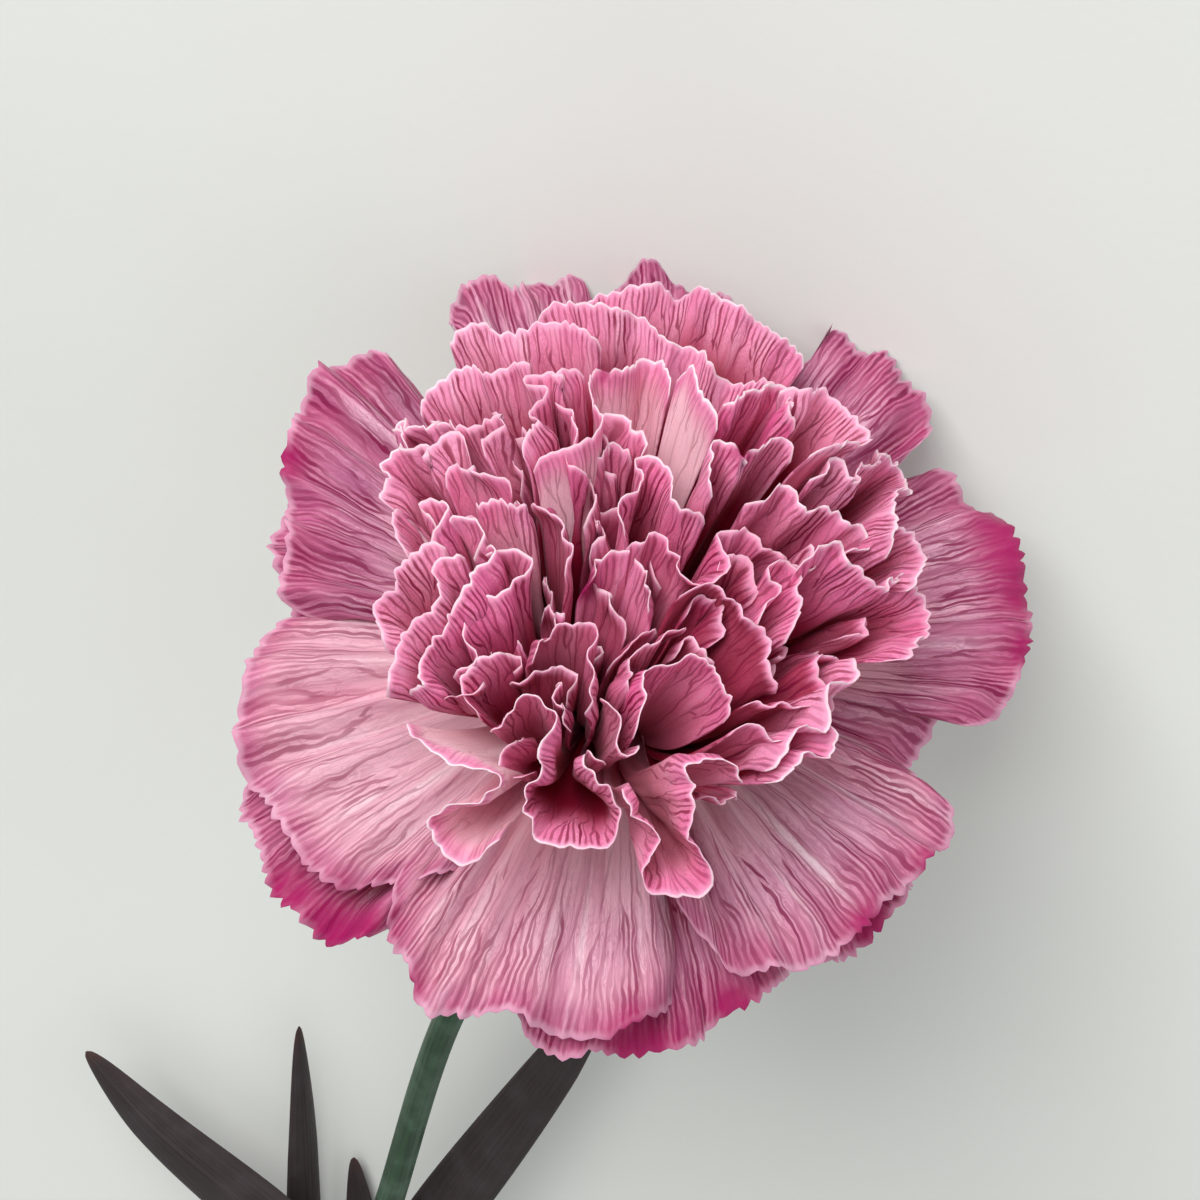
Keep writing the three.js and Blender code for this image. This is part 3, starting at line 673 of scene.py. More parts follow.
@dataclass(frozen=True)
class PetalFinish:
    """Thin velvety petal with darker veins that fork on their way to a pale rim, with painted shade and
    painted sheen in its colour.

    Widths, spacings and depths are in millimetres, depths and reaches from the rim.
    """

    name: str
    blade: str
    pale: str
    # deep colour: cream on the guard petals, dark painted shade on the crown's
    deep_tone_and_shade: str
    mauve: str
    vein: str
    rim: str
    cream: str = "#fbc8d4"
    stain: str = "#a0085c"
    rim_width: float = 0.3
    vein_spacing: float = 4.6
    vein_drift: float = 1.1
    vein_width: float = 0.16
    vein_strength: float = 0.95
    vein_reach: float = 16.0
    forks: tuple[float, ...] = (12.0, 7.5, 4.0)
    wobble: float = 0.3
    net_strength: float = 0.25
    net_scale: Triple = (0.95, 0.34, 0.0)
    deep_tone_start: float = 0.5
    deep_tone_end: float = 9.0
    # painted sheen: pale glossy stripes, strongest on the paler petals
    painted_sheen: str = "#fbe6f0"
    painted_sheen_strength: float = 0.25
    flush: str = "#cf4a88"
    flush_strength: float = 0.15
    flush_depth: float = 5.0
    # pale stripes, partly the petal's own and partly painted sheen
    streak_and_sheen_strength: float = 0.4
    roughness: float = 0.55
    relief: float = 0.00006

    def veins(self, tree: MaterialTree, edge: Wire) -> Wire:
        """Lines that fork on their way to the rim.

        Args:
            tree: the material.
            edge: distance from the rim in mm.

        Returns:
            1 on a line, 0 beside it.
        """
        spacing, width = self.vein_spacing, self.vein_width
        drift = tree.drawn_out((0.45, 0.22, 0.0))["Fac"]
        kink = tree.drawn_out((0.7, 0.5, 0.0), 1.0)["Fac"]
        shift = (drift - 0.5) * self.vein_drift + (kink - 0.5) * self.wobble
        cell = (tree.across() + shift) / spacing
        away = abs((cell.math("FRACT", cell, 0.0) - 0.5) * spacing)
        chance = None
        for level, start in enumerate(self.forks, 1):
            count = 2 ** level
            branch = cell.math("FLOOR", cell * count, 0.0) + 40.0 * level
            chance = tree.chance(branch)
            parting = (chance * 0.9 + 0.55) * start
            parted = 1 - edge.between(parting - 0.2 * start - 1.0, parting)
            away = abs(away - parted * (spacing / count / 2))
        return (1 - away.between(width * 0.5, width)) * (0.6 + 0.4 * chance)

    def net(self, tree: MaterialTree) -> Wire:
        """Long meshes between the veins.

        Args:
            tree: the material.

        Returns:
            1 on a line, 0 inside a mesh.
        """
        bent = tree.drawn_out((0.7, 0.35, 0.0))["Color"]
        place = tree.vector("MULTIPLY", tree.pattern(), self.net_scale)
        place = tree.vector("ADD", place, tree.vector("MULTIPLY", bent, (1.1, 0.7, 0.0)))
        cells = tree.node("ShaderNodeTexVoronoi", {"feature": "DISTANCE_TO_EDGE"}, {"Vector": place})
        return 1 - cells["Distance"].between(0.04, 0.15)

    def ground(self, tree: MaterialTree, edge: Wire, patches: Wire, cloud: Wire) -> Wire:
        """Colour between the veins, from a lit blade to a deep part that is cream on the guard petals and
        darkened with painted shade on the crown's, with pale stripes partly of painted sheen.

        Args:
            tree: the material.
            edge: distance from the rim in mm.
            patches: broad spots, 0 to 1.
            cloud: fine spots, 0 to 1.

        Returns:
            The colour.
        """
        outer, tint, cream = tree.mark("outer_side"), tree.mark("tint"), tree.mark("cream")
        streaks_and_sheen = tree.drawn_out((1.3, 0.07, 0.0), 3.0)["Fac"]
        painted_sheen = tree.drawn_out((0.4, 0.03, 0.0))["Fac"]
        flush = 1 - edge.between(self.flush_depth * 0.2, self.flush_depth)
        deep_tone_and_shade = edge.between(self.deep_tone_start, self.deep_tone_end) * (1 - 0.85 * cream)
        dark_streaks = (1 - streaks_and_sheen.between(0.3, 0.5)) * self.streak_and_sheen_strength * 0.5
        return tree.layers(colour(self.blade), (
            # paler tone by petal: partly its own, partly painted light
            (self.pale, patches * 0.4 + tint * 0.5),
            (self.mauve, cloud * 0.25),
            # pale stripes: partly the petal's own, partly painted sheen
            (self.pale, streaks_and_sheen.between(0.45, 0.7) * self.streak_and_sheen_strength),
            # painted sheen
            (self.painted_sheen, painted_sheen.between(0.5, 0.68) * tint * self.painted_sheen_strength),
            (self.flush, flush * self.flush_strength),
            # deep colour: cream on the guard petals, painted shade on the crown's
            (self.deep_tone_and_shade, deep_tone_and_shade * (1 - 0.15 * outer)),
            (self.cream, cream * edge.between(0.5, 4.0)),
            (self.vein, dark_streaks * self.inner(edge)),
            (self.pale, outer * 0.15),
            # painted shade: petals that lie in hollows darkened below the rim
            (self.deep_tone_and_shade, tree.mark("shade") * edge.between(0.2, 1.6)),
        ))

    def inner(self, edge: Wire) -> Wire:
        """How much of the veins is left at a distance from the rim."""
        return 1 - 0.9 * edge.between(self.vein_reach * 0.35, self.vein_reach)

    def material(self) -> bpy.types.Material:
        """Material of a petal.

        Returns:
            The material.
        """
        tree = MaterialTree(self.name)
        edge = tree.mark("rim_distance")
        patches = tree.noise(tree.pattern(), 0.12, 3.0)["Fac"].between(0.35, 0.7)
        cloud = tree.noise(tree.place(), 60.0, 2.0)["Fac"].between(0.35, 0.65)
        fade = (edge.between(0.1, 0.7) * self.inner(edge) * (1 - 0.25 * tree.mark("outer_side"))
                * (1 - 0.6 * tree.mark("cream")))
        veins = self.veins(tree, edge)
        pressed = tree.drawn_out((0.5, 0.13, 0.0))["Fac"].between(0.36, 0.56)
        joined = veins.math("MAXIMUM", veins, self.net(tree) * self.net_strength)
        lines = joined * (0.45 + 0.55 * pressed) * fade
        rim_line = 1 - edge.between(self.rim_width * 0.3, self.rim_width * (0.8 + 0.8 * patches))
        surface = tree.layers(self.ground(tree, edge, patches, cloud), (
            (self.vein, lines * self.vein_strength),
            (self.pale, 0.4 - 0.4 * edge.between(0.2, 1.0)),
            # the pale rim is dimmed where a petal has painted shade
            (self.rim, rim_line * (0.45 + 0.55 * cloud) * (1 - 0.5 * tree.mark("shade"))),
            (self.stain, tree.mark("stain")),
        ))
        velvet = tree.noise(tree.place(), 2500.0, 2.0)["Fac"]
        return tree.finish({
            "Base Color": surface,
            "Roughness": self.roughness + 0.15 * patches,
            "Subsurface Weight": 0.22,
            "Subsurface Radius": (1.0, 0.32, 0.4),
            "Subsurface Scale": 0.0012,
            "Specular IOR Level": 0.28,
            "Sheen Weight": 0.05,
            "Sheen Roughness": 0.4,
        }, 0.7 - 0.5 * lines + 0.3 * velvet, self.relief)


@dataclass(frozen=True)
class GreenFinish:
    """Waxy stalk or calyx with fine nerves and a bloom."""

    name: str
    flesh: str
    shade: str
    bloom: str
    tip: str
    nerve_scale: Triple
    roughness: float = 0.5
    relief: float = 0.00006

    def material(self) -> bpy.types.Material:
        """Material of a green piece.

        Returns:
            The material.
        """
        tree = MaterialTree(self.name)
        nerves = tree.drawn_out(self.nerve_scale)["Fac"]
        lines = nerves.between(0.42, 0.6)
        bloom = tree.noise(tree.place(), 220.0, 3.0)["Fac"].between(0.4, 0.75)
        specks = tree.noise(tree.place(), 3000.0, 1.0)["Fac"]
        coats = ((self.shade, lines * 0.55), (self.bloom, bloom * 0.4), (self.tip, tree.mark("tip")))
        return tree.finish({
            "Base Color": tree.layers(colour(self.flesh), coats),
            "Roughness": self.roughness + 0.18 * bloom,
            "Subsurface Weight": 0.05,
            "Subsurface Scale": 0.001,
            "Specular IOR Level": 0.4,
        }, lines * 0.6 + specks * 0.4, self.relief)


@dataclass(frozen=True)
class PaperFinish:
    """Plain pale floor."""

    name: str
    base: str
    fleck: str

    def material(self) -> bpy.types.Material:
        """Material of the floor.

        Returns:
            The material.
        """
        tree = MaterialTree(self.name)
        mottle = tree.noise(tree.place(), 14.0, 4.0)["Fac"].between(0.3, 0.7)
        grain = tree.noise(tree.place(), 900.0, 2.0)["Fac"]
        ground = tree.mix(colour(self.base), colour(self.fleck), mottle)
        return tree.finish({"Base Color": ground, "Roughness": 0.85, "Specular IOR Level": 0.1},
                           grain, 0.00002)


# ---- drawn margins -------------------------------------------------------------------


class Margin(Enum):
    """What is given for the rays of a margin."""

    SPREAD = "first and last turn, in degrees"
    REACH = "length, in millimetres"


@dataclass(frozen=True)
class Drawing:
    """Margin of one petal, as drawn on the sheet."""

    name: str
    given: Margin
    value: Pair
    points: tuple[Pair, ...]


# margins are drawn on the sheet: tenths of a millimetre, x right and y down
GUARD_PETALS: tuple[Drawing, ...] = (
    Drawing("left", Margin.SPREAD, (84, 89), (
        (415, 380), (400, 368), (378, 359), (350, 351), (325, 360), (304, 393), (295, 418),
        (288, 440), (284, 470), (292, 490), (288, 515), (288, 545), (284, 568), (282, 590),
        (304, 608))),
    Drawing("left_back", Margin.SPREAD, (97, 101), (
        (330, 440), (294, 490), (270, 529), (274, 557), (284, 585), (310, 640))),
    Drawing("lower_left", Margin.SPREAD, (96, 88), (
        (272, 613), (258, 640), (244, 680), (236, 720), (238, 755), (262, 785), (282, 820),
        (308, 856), (340, 883), (373, 876), (409, 873), (440, 873), (474, 850))),
    Drawing("lower_left_back", Margin.SPREAD, (103, 98), (
        (246, 758), (240, 800), (256, 835), (272, 882), (301, 911), (340, 937), (368, 945),
        (394, 930))),
    Drawing("lower", Margin.SPREAD, (91, 91), (
        (388, 884), (396, 930), (410, 970), (430, 1005), (458, 1006), (502, 1010), (543, 1020),
        (576, 1024), (606, 1032), (645, 1017), (688, 992))),
    Drawing("lower_back", Margin.SPREAD, (100, 98), (
        (510, 1005), (534, 1034), (566, 1056), (594, 1047), (630, 1047), (688, 1043), (724, 1012),
        (757, 996), (788, 973), (804, 945))),
    Drawing("lower_right", Margin.SPREAD, (84, 84), (
        (680, 904), (714, 941), (763, 970), (811, 958), (850, 934), (886, 895), (925, 862),
        (953, 826), (968, 802))),
    Drawing("lower_right_back", Margin.SPREAD, (96, 96), (
        (800, 972), (840, 955), (876, 928), (906, 892), (930, 850))),
    Drawing("right_back", Margin.SPREAD, (98, 98), (
        (906, 806), (915, 765), (930, 735), (936, 705), (932, 660))),
    Drawing("right", Margin.SPREAD, (88, 88), (
        (912, 468), (944, 474), (972, 498), (998, 504), (1012, 531), (1026, 569), (1031, 605),
        (1026, 654), (1010, 695), (986, 726))),
    Drawing("upper_right", Margin.SPREAD, (77, 77), (
        (800, 358), (820, 345), (840, 318), (862, 350), (884, 342), (903, 373), (930, 400),
        (930, 430), (906, 464))),
    Drawing("upper", Margin.SPREAD, (78, 78), (
        (606, 292), (628, 270), (652, 253), (682, 265), (714, 279), (735, 298), (754, 318))),
    Drawing("upper_left", Margin.SPREAD, (84, 84), (
        (452, 334), (462, 284), (492, 276), (512, 290), (540, 266), (560, 273), (579, 264),
        (592, 278))),
)

CROWN_PETALS: tuple[Drawing, ...] = (
    Drawing("top_back", Margin.SPREAD, (69, 66), (
        (580, 302), (600, 294), (636, 287), (662, 282), (680, 296), (698, 284), (716, 293),
        (735, 303), (769, 325), (786, 338), (810, 354))),
    Drawing("top", Margin.SPREAD, (63, 57), (
        (537, 306), (562, 302), (602, 305), (640, 314), (670, 341), (700, 349), (722, 379),
        (751, 381), (780, 374))),
    Drawing("top_left", Margin.SPREAD, (64, 50), (
        (450, 366), (450, 345), (474, 322), (492, 332), (515, 333), (540, 323), (570, 324),
        (600, 335))),
    Drawing("top_left_front", Margin.SPREAD, (60, 41), (
        (414, 402), (434, 386), (463, 371), (486, 373), (512, 366), (524, 352))),
    Drawing("upper_left", Margin.REACH, (34, 34), (
        (392, 445), (393, 430), (410, 418), (424, 429), (438, 418), (457, 425), (475, 425),
        (502, 410), (498, 428), (489, 442))),
    Drawing("left_top", Margin.REACH, (34, 34), (
        (398, 490), (388, 462), (406, 444), (420, 460), (428, 460), (434, 446), (446, 438),
        (456, 445))),
    Drawing("upper_fold", Margin.REACH, (35.5, 35.5), (
        (518, 446), (537, 434), (549, 418), (539, 398), (536, 384), (548, 373), (560, 381),
        (574, 367), (584, 364))),
    Drawing("pale_hood", Margin.REACH, (34, 34), (
        (530, 460), (556, 455), (586, 444), (598, 425), (597, 400), (594, 376), (620, 370),
        (645, 360), (660, 364), (669, 380))),
    Drawing("pale_wing", Margin.SPREAD, (33, 24), (
        (675, 388), (688, 366), (699, 390), (710, 405), (720, 419))),
    Drawing("upper_right", Margin.REACH, (36, 36), (
        (726, 396), (740, 401), (758, 390), (784, 390), (786, 408), (800, 420))),
    Drawing("heart", Margin.REACH, (35, 35), (
        (722, 486), (712, 474), (706, 458), (716, 445), (731, 450), (745, 468), (756, 450),
        (782, 438), (798, 452))),
    Drawing("right_top", Margin.REACH, (37.5, 37.5), (
        (802, 392), (823, 392), (841, 404), (862, 432), (838, 441), (820, 446))),
    Drawing("right_lobe", Margin.REACH, (36, 36), (
        (818, 470), (838, 466), (858, 484), (870, 470), (892, 462), (903, 478), (890, 508),
        (888, 532), (898, 552))),
    Drawing("right_inner", Margin.REACH, (34, 34), (
        (753, 499), (769, 498), (792, 500), (808, 510), (830, 515), (848, 524), (860, 537),
        (846, 548))),
    Drawing("centre_flap", Margin.REACH, (31.5, 31.5), (
        (630, 526), (629, 506), (633, 485), (645, 462), (662, 474), (676, 500), (692, 514),
        (710, 520))),
    Drawing("centre_right", Margin.REACH, (30.5, 30.5), (
        (628, 540), (645, 543), (664, 539), (682, 554), (692, 569), (712, 563), (722, 548),
        (726, 536), (744, 532), (764, 546), (784, 548), (800, 560))),
    Drawing("right_lower", Margin.REACH, (34, 34), (
        (812, 572), (822, 562), (838, 553), (852, 567), (870, 583), (900, 589), (926, 608),
        (922, 636), (895, 645))),
    Drawing("right_ear", Margin.REACH, (32, 32), (
        (772, 624), (777, 595), (772, 573), (787, 570), (790, 588), (800, 608), (792, 634))),
    Drawing("dark_cheek", Margin.REACH, (31.5, 31.5), (
        (682, 586), (705, 581), (731, 590), (752, 612), (764, 640), (772, 664), (788, 678))),
    Drawing("dark_cheek_outer", Margin.REACH, (32.5, 32.5), (
        (754, 700), (774, 702), (804, 698), (816, 682), (820, 660), (840, 648))),
    Drawing("round_front", Margin.REACH, (31, 31), (
        (638, 735), (640, 700), (635, 680), (644, 664), (668, 665), (688, 658), (715, 666),
        (731, 690), (733, 718))),
    Drawing("round_back", Margin.REACH, (30, 30), (
        (627, 694), (617, 680), (624, 656), (646, 645), (668, 632), (678, 616))),
    Drawing("centre_front", Margin.REACH, (29, 29), (
        (578, 566), (592, 555), (620, 556), (645, 567), (661, 585), (666, 601))),
    Drawing("left_inner", Margin.REACH, (32, 32), (
        (468, 502), (482, 505), (498, 500), (516, 504), (528, 512), (531, 500), (518, 488))),
    Drawing("left_middle", Margin.REACH, (33, 33), (
        (452, 506), (464, 514), (474, 530), (478, 546))),
    Drawing("left_edge", Margin.REACH, (34.5, 34.5), (
        (440, 543), (424, 549), (405, 566), (392, 585), (384, 602), (390, 626), (389, 645))),
    Drawing("left_wave_1", Margin.REACH, (34, 34), (
        (462, 557), (447, 564), (438, 592), (434, 614), (415, 629), (399, 651), (393, 680),
        (391, 696))),
    Drawing("left_wave_2", Margin.REACH, (33, 33), (
        (484, 538), (494, 552), (483, 583), (464, 602), (452, 624), (430, 638), (426, 662),
        (430, 688), (408, 706))),
    Drawing("left_wave_3", Margin.REACH, (31.5, 31.5), (
        (498, 536), (513, 550), (521, 572), (508, 596), (486, 611), (470, 632), (468, 656),
        (450, 674))),
    Drawing("lower_left_roll", Margin.REACH, (37, 37), (
        (399, 724), (413, 738), (440, 748), (470, 758), (497, 776), (482, 802), (455, 814),
        (432, 824), (440, 846), (463, 856), (496, 846))),
    Drawing("lower_left_wall", Margin.REACH, (32, 32), (
        (504, 648), (486, 661), (470, 690), (470, 714))),
    Drawing("front_ribbon", Margin.REACH, (34, 34), (
        (482, 720), (506, 705), (532, 695), (557, 714), (555, 742), (553, 767), (523, 799),
        (528, 818), (556, 836), (597, 837), (618, 822), (622, 806), (594, 788), (578, 770),
        (577, 752))),
    Drawing("front_arch", Margin.REACH, (31, 31), (
        (519, 645), (538, 626), (565, 621), (584, 624), (594, 640), (591, 655), (600, 678),
        (603, 700), (595, 714))),
    Drawing("front_spiral", Margin.REACH, (32, 32), (
        (612, 690), (621, 708), (621, 728), (615, 745), (626, 750), (632, 738))),
    Drawing("lower_right_edge", Margin.REACH, (34, 34), (
        (860, 652), (850, 670), (836, 690), (826, 704), (802, 722), (786, 743), (768, 758))),
    Drawing("front_tongue", Margin.REACH, (37, 37), (
        (752, 780), (740, 766), (718, 754), (697, 756), (679, 771), (677, 788), (687, 812),
        (699, 840), (694, 880), (672, 893), (654, 884), (652, 846), (647, 806), (634, 784))),
)

INNER_FOLDS: tuple[Drawing, ...] = (
    Drawing("right_edge_curl", Margin.REACH, (35.5, 35.5), (
        (900, 524), (914, 538), (922, 556), (914, 574))),
    Drawing("low_right_fold", Margin.REACH, (33, 33), (
        (742, 742), (756, 734), (776, 731), (788, 724))),
    Drawing("left_curl", Margin.REACH, (34, 34), (
        (416, 518), (421, 503), (436, 507), (446, 520), (450, 532))),
    Drawing("left_tuck", Margin.REACH, (31, 31), (
        (540, 490), (556, 505), (567, 526), (569, 550), (560, 564))),
    Drawing("front_wall", Margin.REACH, (28.5, 28.5), (
        (514, 668), (525, 674), (538, 671), (550, 664), (564, 668), (574, 681), (574, 700))),
    Drawing("left_crest", Margin.REACH, (33, 33), (
        (440, 474), (450, 466), (464, 466), (480, 461), (490, 468), (504, 482))),
    Drawing("hood_fold", Margin.REACH, (35, 35), (
        (574, 434), (567, 412), (572, 396))),
    Drawing("heart_side", Margin.REACH, (29.5, 29.5), (
        (694, 606), (706, 596), (718, 600), (714, 612), (706, 630))),
    Drawing("heart_inner", Margin.REACH, (30, 30), (
        (718, 573), (734, 566), (746, 566), (752, 577), (750, 590))),
    Drawing("round_side", Margin.REACH, (29, 29), (
        (676, 643), (692, 638), (708, 650), (722, 660))),
    Drawing("centre_low", Margin.REACH, (27, 27), (
        (608, 660), (622, 646), (638, 632), (652, 618))),
    Drawing("centre_mid", Margin.REACH, (26.5, 26.5), (
        (592, 574), (602, 590), (614, 588), (624, 608), (626, 626))),
    Drawing("centre_top", Margin.REACH, (32, 32), (
        (606, 436), (614, 422), (628, 433), (640, 434), (642, 450))),
    Drawing("centre_upper", Margin.REACH, (31, 31), (
        (596, 470), (602, 456), (618, 449), (630, 453))),
    Drawing("centre_deep", Margin.REACH, (29.5, 29.5), (
        (588, 516), (596, 496), (608, 476), (622, 468))),
    Drawing("hood_tuck", Margin.REACH, (33, 33), (
        (540, 466), (550, 465), (570, 466), (580, 460))),
    Drawing("left_outer", Margin.REACH, (35, 35), (
        (392, 502), (400, 520), (402, 534), (404, 544))),
    Drawing("left_low_wall", Margin.REACH, (31.5, 31.5), (
        (472, 668), (462, 678), (448, 688), (440, 700))),
    Drawing("ribbon_tuck", Margin.REACH, (32, 32), (
        (592, 746), (597, 757), (608, 762))),
    Drawing("right_low_wall", Margin.REACH, (34, 34), (
        (838, 716), (816, 742), (792, 765), (774, 778))),
    Drawing("right_mid", Margin.REACH, (32, 32), (
        (790, 556), (808, 556), (822, 544))),
)

# how far the crown swells forward, in mm
CROWN_LEAN = 6.5
# shares by petal: of its ruffles, of cream and of painted shade low in the petal, and of its paler tone,
# partly its own and partly painted light
CALM = {"pale_hood": 0.35, "pale_wing": 0.3, "heart": 0.6, "round_front": 0.5, "centre_flap": 0.6,
        "lower_left_roll": 0.7}
CREAM = {"pale_hood": 0.75, "pale_wing": 0.9, "left_inner": 0.35, "lower_left_roll": 1.0, "lower": 0.35,
         "lower_left": 0.5, "lower_right": 0.15, "front_tongue": 0.2}
# painted shade by petal, for the petals that lie in hollows
SHADE = {"dark_cheek": 0.8, "dark_cheek_outer": 0.8, "front_wall": 0.8, "heart_side": 0.8,
         "heart_inner": 0.8, "round_back": 0.4, "round_side": 0.6, "front_arch": 0.35, "centre_low": 0.6,
         "centre_mid": 0.6, "centre_deep": 0.5, "centre_upper": 0.4, "centre_top": 0.3, "left_tuck": 0.5,
         "centre_right": 0.3, "low_right_fold": 0.4, "lower_left_wall": 0.4, "left_low_wall": 0.4,
         "front_spiral": 0.3, "left_wave_3": 0.25, "right_inner": 0.2, "right_mid": 0.3}
# paler tone by petal: partly its own, partly painted light on lit petals
TINT_AND_LIGHT = {"left": 0.2, "left_back": 0.2, "upper_right": 0.0, "upper": 0.2, "upper_left": 0.7,
        "lower_left": 0.8, "lower": 0.6, "lower_right": 0.7, "right": 0.2, "lower_left_back": 0.1,
        "lower_back": 0.1, "lower_right_back": 0.2, "right_back": 0.4, "top": 1.0, "top_left": 1.0,
        "top_left_front": 1.0, "top_back": 0.7, "left_top": 1.0, "left_edge": 1.0, "left_wave_1": 0.9,
        "heart": 1.0, "right_lobe": 0.8}
# magenta patches on the margins: sheet x, y and radius
STAINS = ((1004, 545, 42), (1024, 590, 26), (345, 925, 40), (290, 890, 24), (640, 1044, 34),
          (284, 460, 18), (870, 925, 20), (1028, 650, 18), (735, 1005, 22), (930, 862, 14),
          (405, 985, 14), (320, 350, 14), (742, 452, 9), (588, 588, 12), (604, 372, 7))
# faces that no small fold stands in front of: sheet x, y and radius
OPEN_FACES = ((640, 415, 58), (690, 440, 45), (690, 705, 46), (596, 800, 40), (668, 830, 40),
              (662, 505, 26), (752, 478, 30), (835, 500, 28), (615, 582, 26), (566, 650, 24),
              (700, 320, 40), (520, 350, 30))


# ---- petals --------------------------------------------------------------------------


@dataclass
class FoldScatter:
    """Short folds that stand between the drawn petals, deep in the crown."""

    space: FlowerSpace
    lean: float
    seed: int = 11
    tries: int = 9000
    wanted: int = 60
    outermost: float = 0.5
    clearance: float = 0.0135
    length: Pair = (0.06, 0.22)
    wiggle: Pair = (0.006, 0.03)
    waves: Pair = (0.8, 2.2)
    bow: Pair = (-0.25, 0.25)
    turning: float = 0.6
    points: int = 19
    lower: Pair = (1.0, 5.0)
    back_lower: float = 3.0
    tallest: float = 35.0

    def hidden(self, line: Values, length: float) -> bool:
        """Whether a margin keeps out of the faces that stay open.

        Args:
            line: rays of the margin.
            length: how far along them it stands.

        Returns:
            Whether it can stay.
        """
        seen = self.space.seen_at(self.space.ray_point(line, np.full(len(line), length), self.lean))
        for x, y, radius in OPEN_FACES:
            away = np.linalg.norm(seen - self.space.from_sheet(np.array([x, y])), axis=-1)
            if away.min() < radius * self.space.sheet_unit:
                return False
        return True

    def candidate(self, random: np.random.Generator) -> Values:
        """Short wavy line of rays that mostly runs around the axis.

        Args:
            random: source of its shape.

        Returns:
            The rays of the line.
        """
        steps = np.linspace(-0.5, 0.5, self.points)
        reach = self.outermost * math.sqrt(random.uniform(0.002, 1))
        around = random.uniform(0, 2 * math.pi)
        facing = around + math.pi / 2 + random.normal(0, self.turning)
        size, wiggle = random.uniform(*self.length), random.uniform(*self.wiggle)
        waves, phase = random.uniform(*self.waves), random.uniform(0, 6.3)
        bow = random.uniform(*self.bow)
        along = np.array([math.cos(facing), math.sin(facing)])
        across = np.array([-along[1], along[0]])
        bend = wiggle * np.sin(2 * math.pi * waves * steps + phase) + bow * size * (1 - 4 * steps ** 2)
        middle = reach * np.array([math.cos(around), math.sin(around)])
        return middle + size * steps[:, None] * along + bend[:, None] * across

    def rims(self, drawn: Sequence[Values]) -> dict[str, Values]:
        """Margins that keep clear of the drawn ones.

        Args:
            drawn: ray x, ray y and length at the points of each drawn margin.

        Returns:
            New margins of the same kind, by name.
        """
        random = np.random.default_rng(self.seed)
        taken = np.vstack([rim[::2] for rim in drawn])
        found: dict[str, Values] = {}
        for _ in range(self.tries):
            line = self.candidate(random)
            lower = random.uniform(*self.lower) + self.back_lower * ease(line[:, 1].mean(), 0.0, 0.2)
            away = np.linalg.norm(line[:, None] - taken[None, :, :2], axis=-1)
            if away.min() < self.clearance or np.hypot(*line.T).max() > self.outermost:
                continue
            length = min(taken[away.min(0).argmin(), 2], self.tallest) - lower
            if not self.hidden(line, length):
                continue
            rim = np.c_[line, np.full(len(line), length)]
            taken = np.vstack([taken, rim])
            found[f"deep_{len(found) + 1}"] = smooth_line(rim, 3)
            if len(found) == self.wanted:
                break
        return found


@dataclass
class MiddleScatter(FoldScatter):
    """Short petals between the crown and the guard petals, hidden behind the crown."""

    seed: int = 23
    tries: int = 6000
    wanted: int = 44
    innermost: float = 0.55
    outermost: float = 0.84
    clearance: float = 0.02
    length: Pair = (0.16, 0.34)
    lower: Pair = (3.5, 8.0)
    back_lower: float = 0.0
    tallest: float = 36.0
    middle: Pair = (655.0, 560.0)
    radii: Pair = (225.0, 215.0)

    def hidden(self, line: Values, length: float) -> bool:
        """Whether a margin lies outside the crown's rays but is seen inside its outline.

        Args:
            line: rays of the margin.
            length: how far along them it stands.

        Returns:
            Whether it can stay.
        """
        if np.hypot(*line.T).min() < self.innermost:
            return False
        seen = self.space.seen_at(self.space.ray_point(line, np.full(len(line), length), self.lean))
        centre = self.space.from_sheet(np.array(self.middle))
        away = (seen - centre) / np.array(self.radii) / self.space.sheet_unit
        return bool(np.linalg.norm(away, axis=-1).max() < 1)


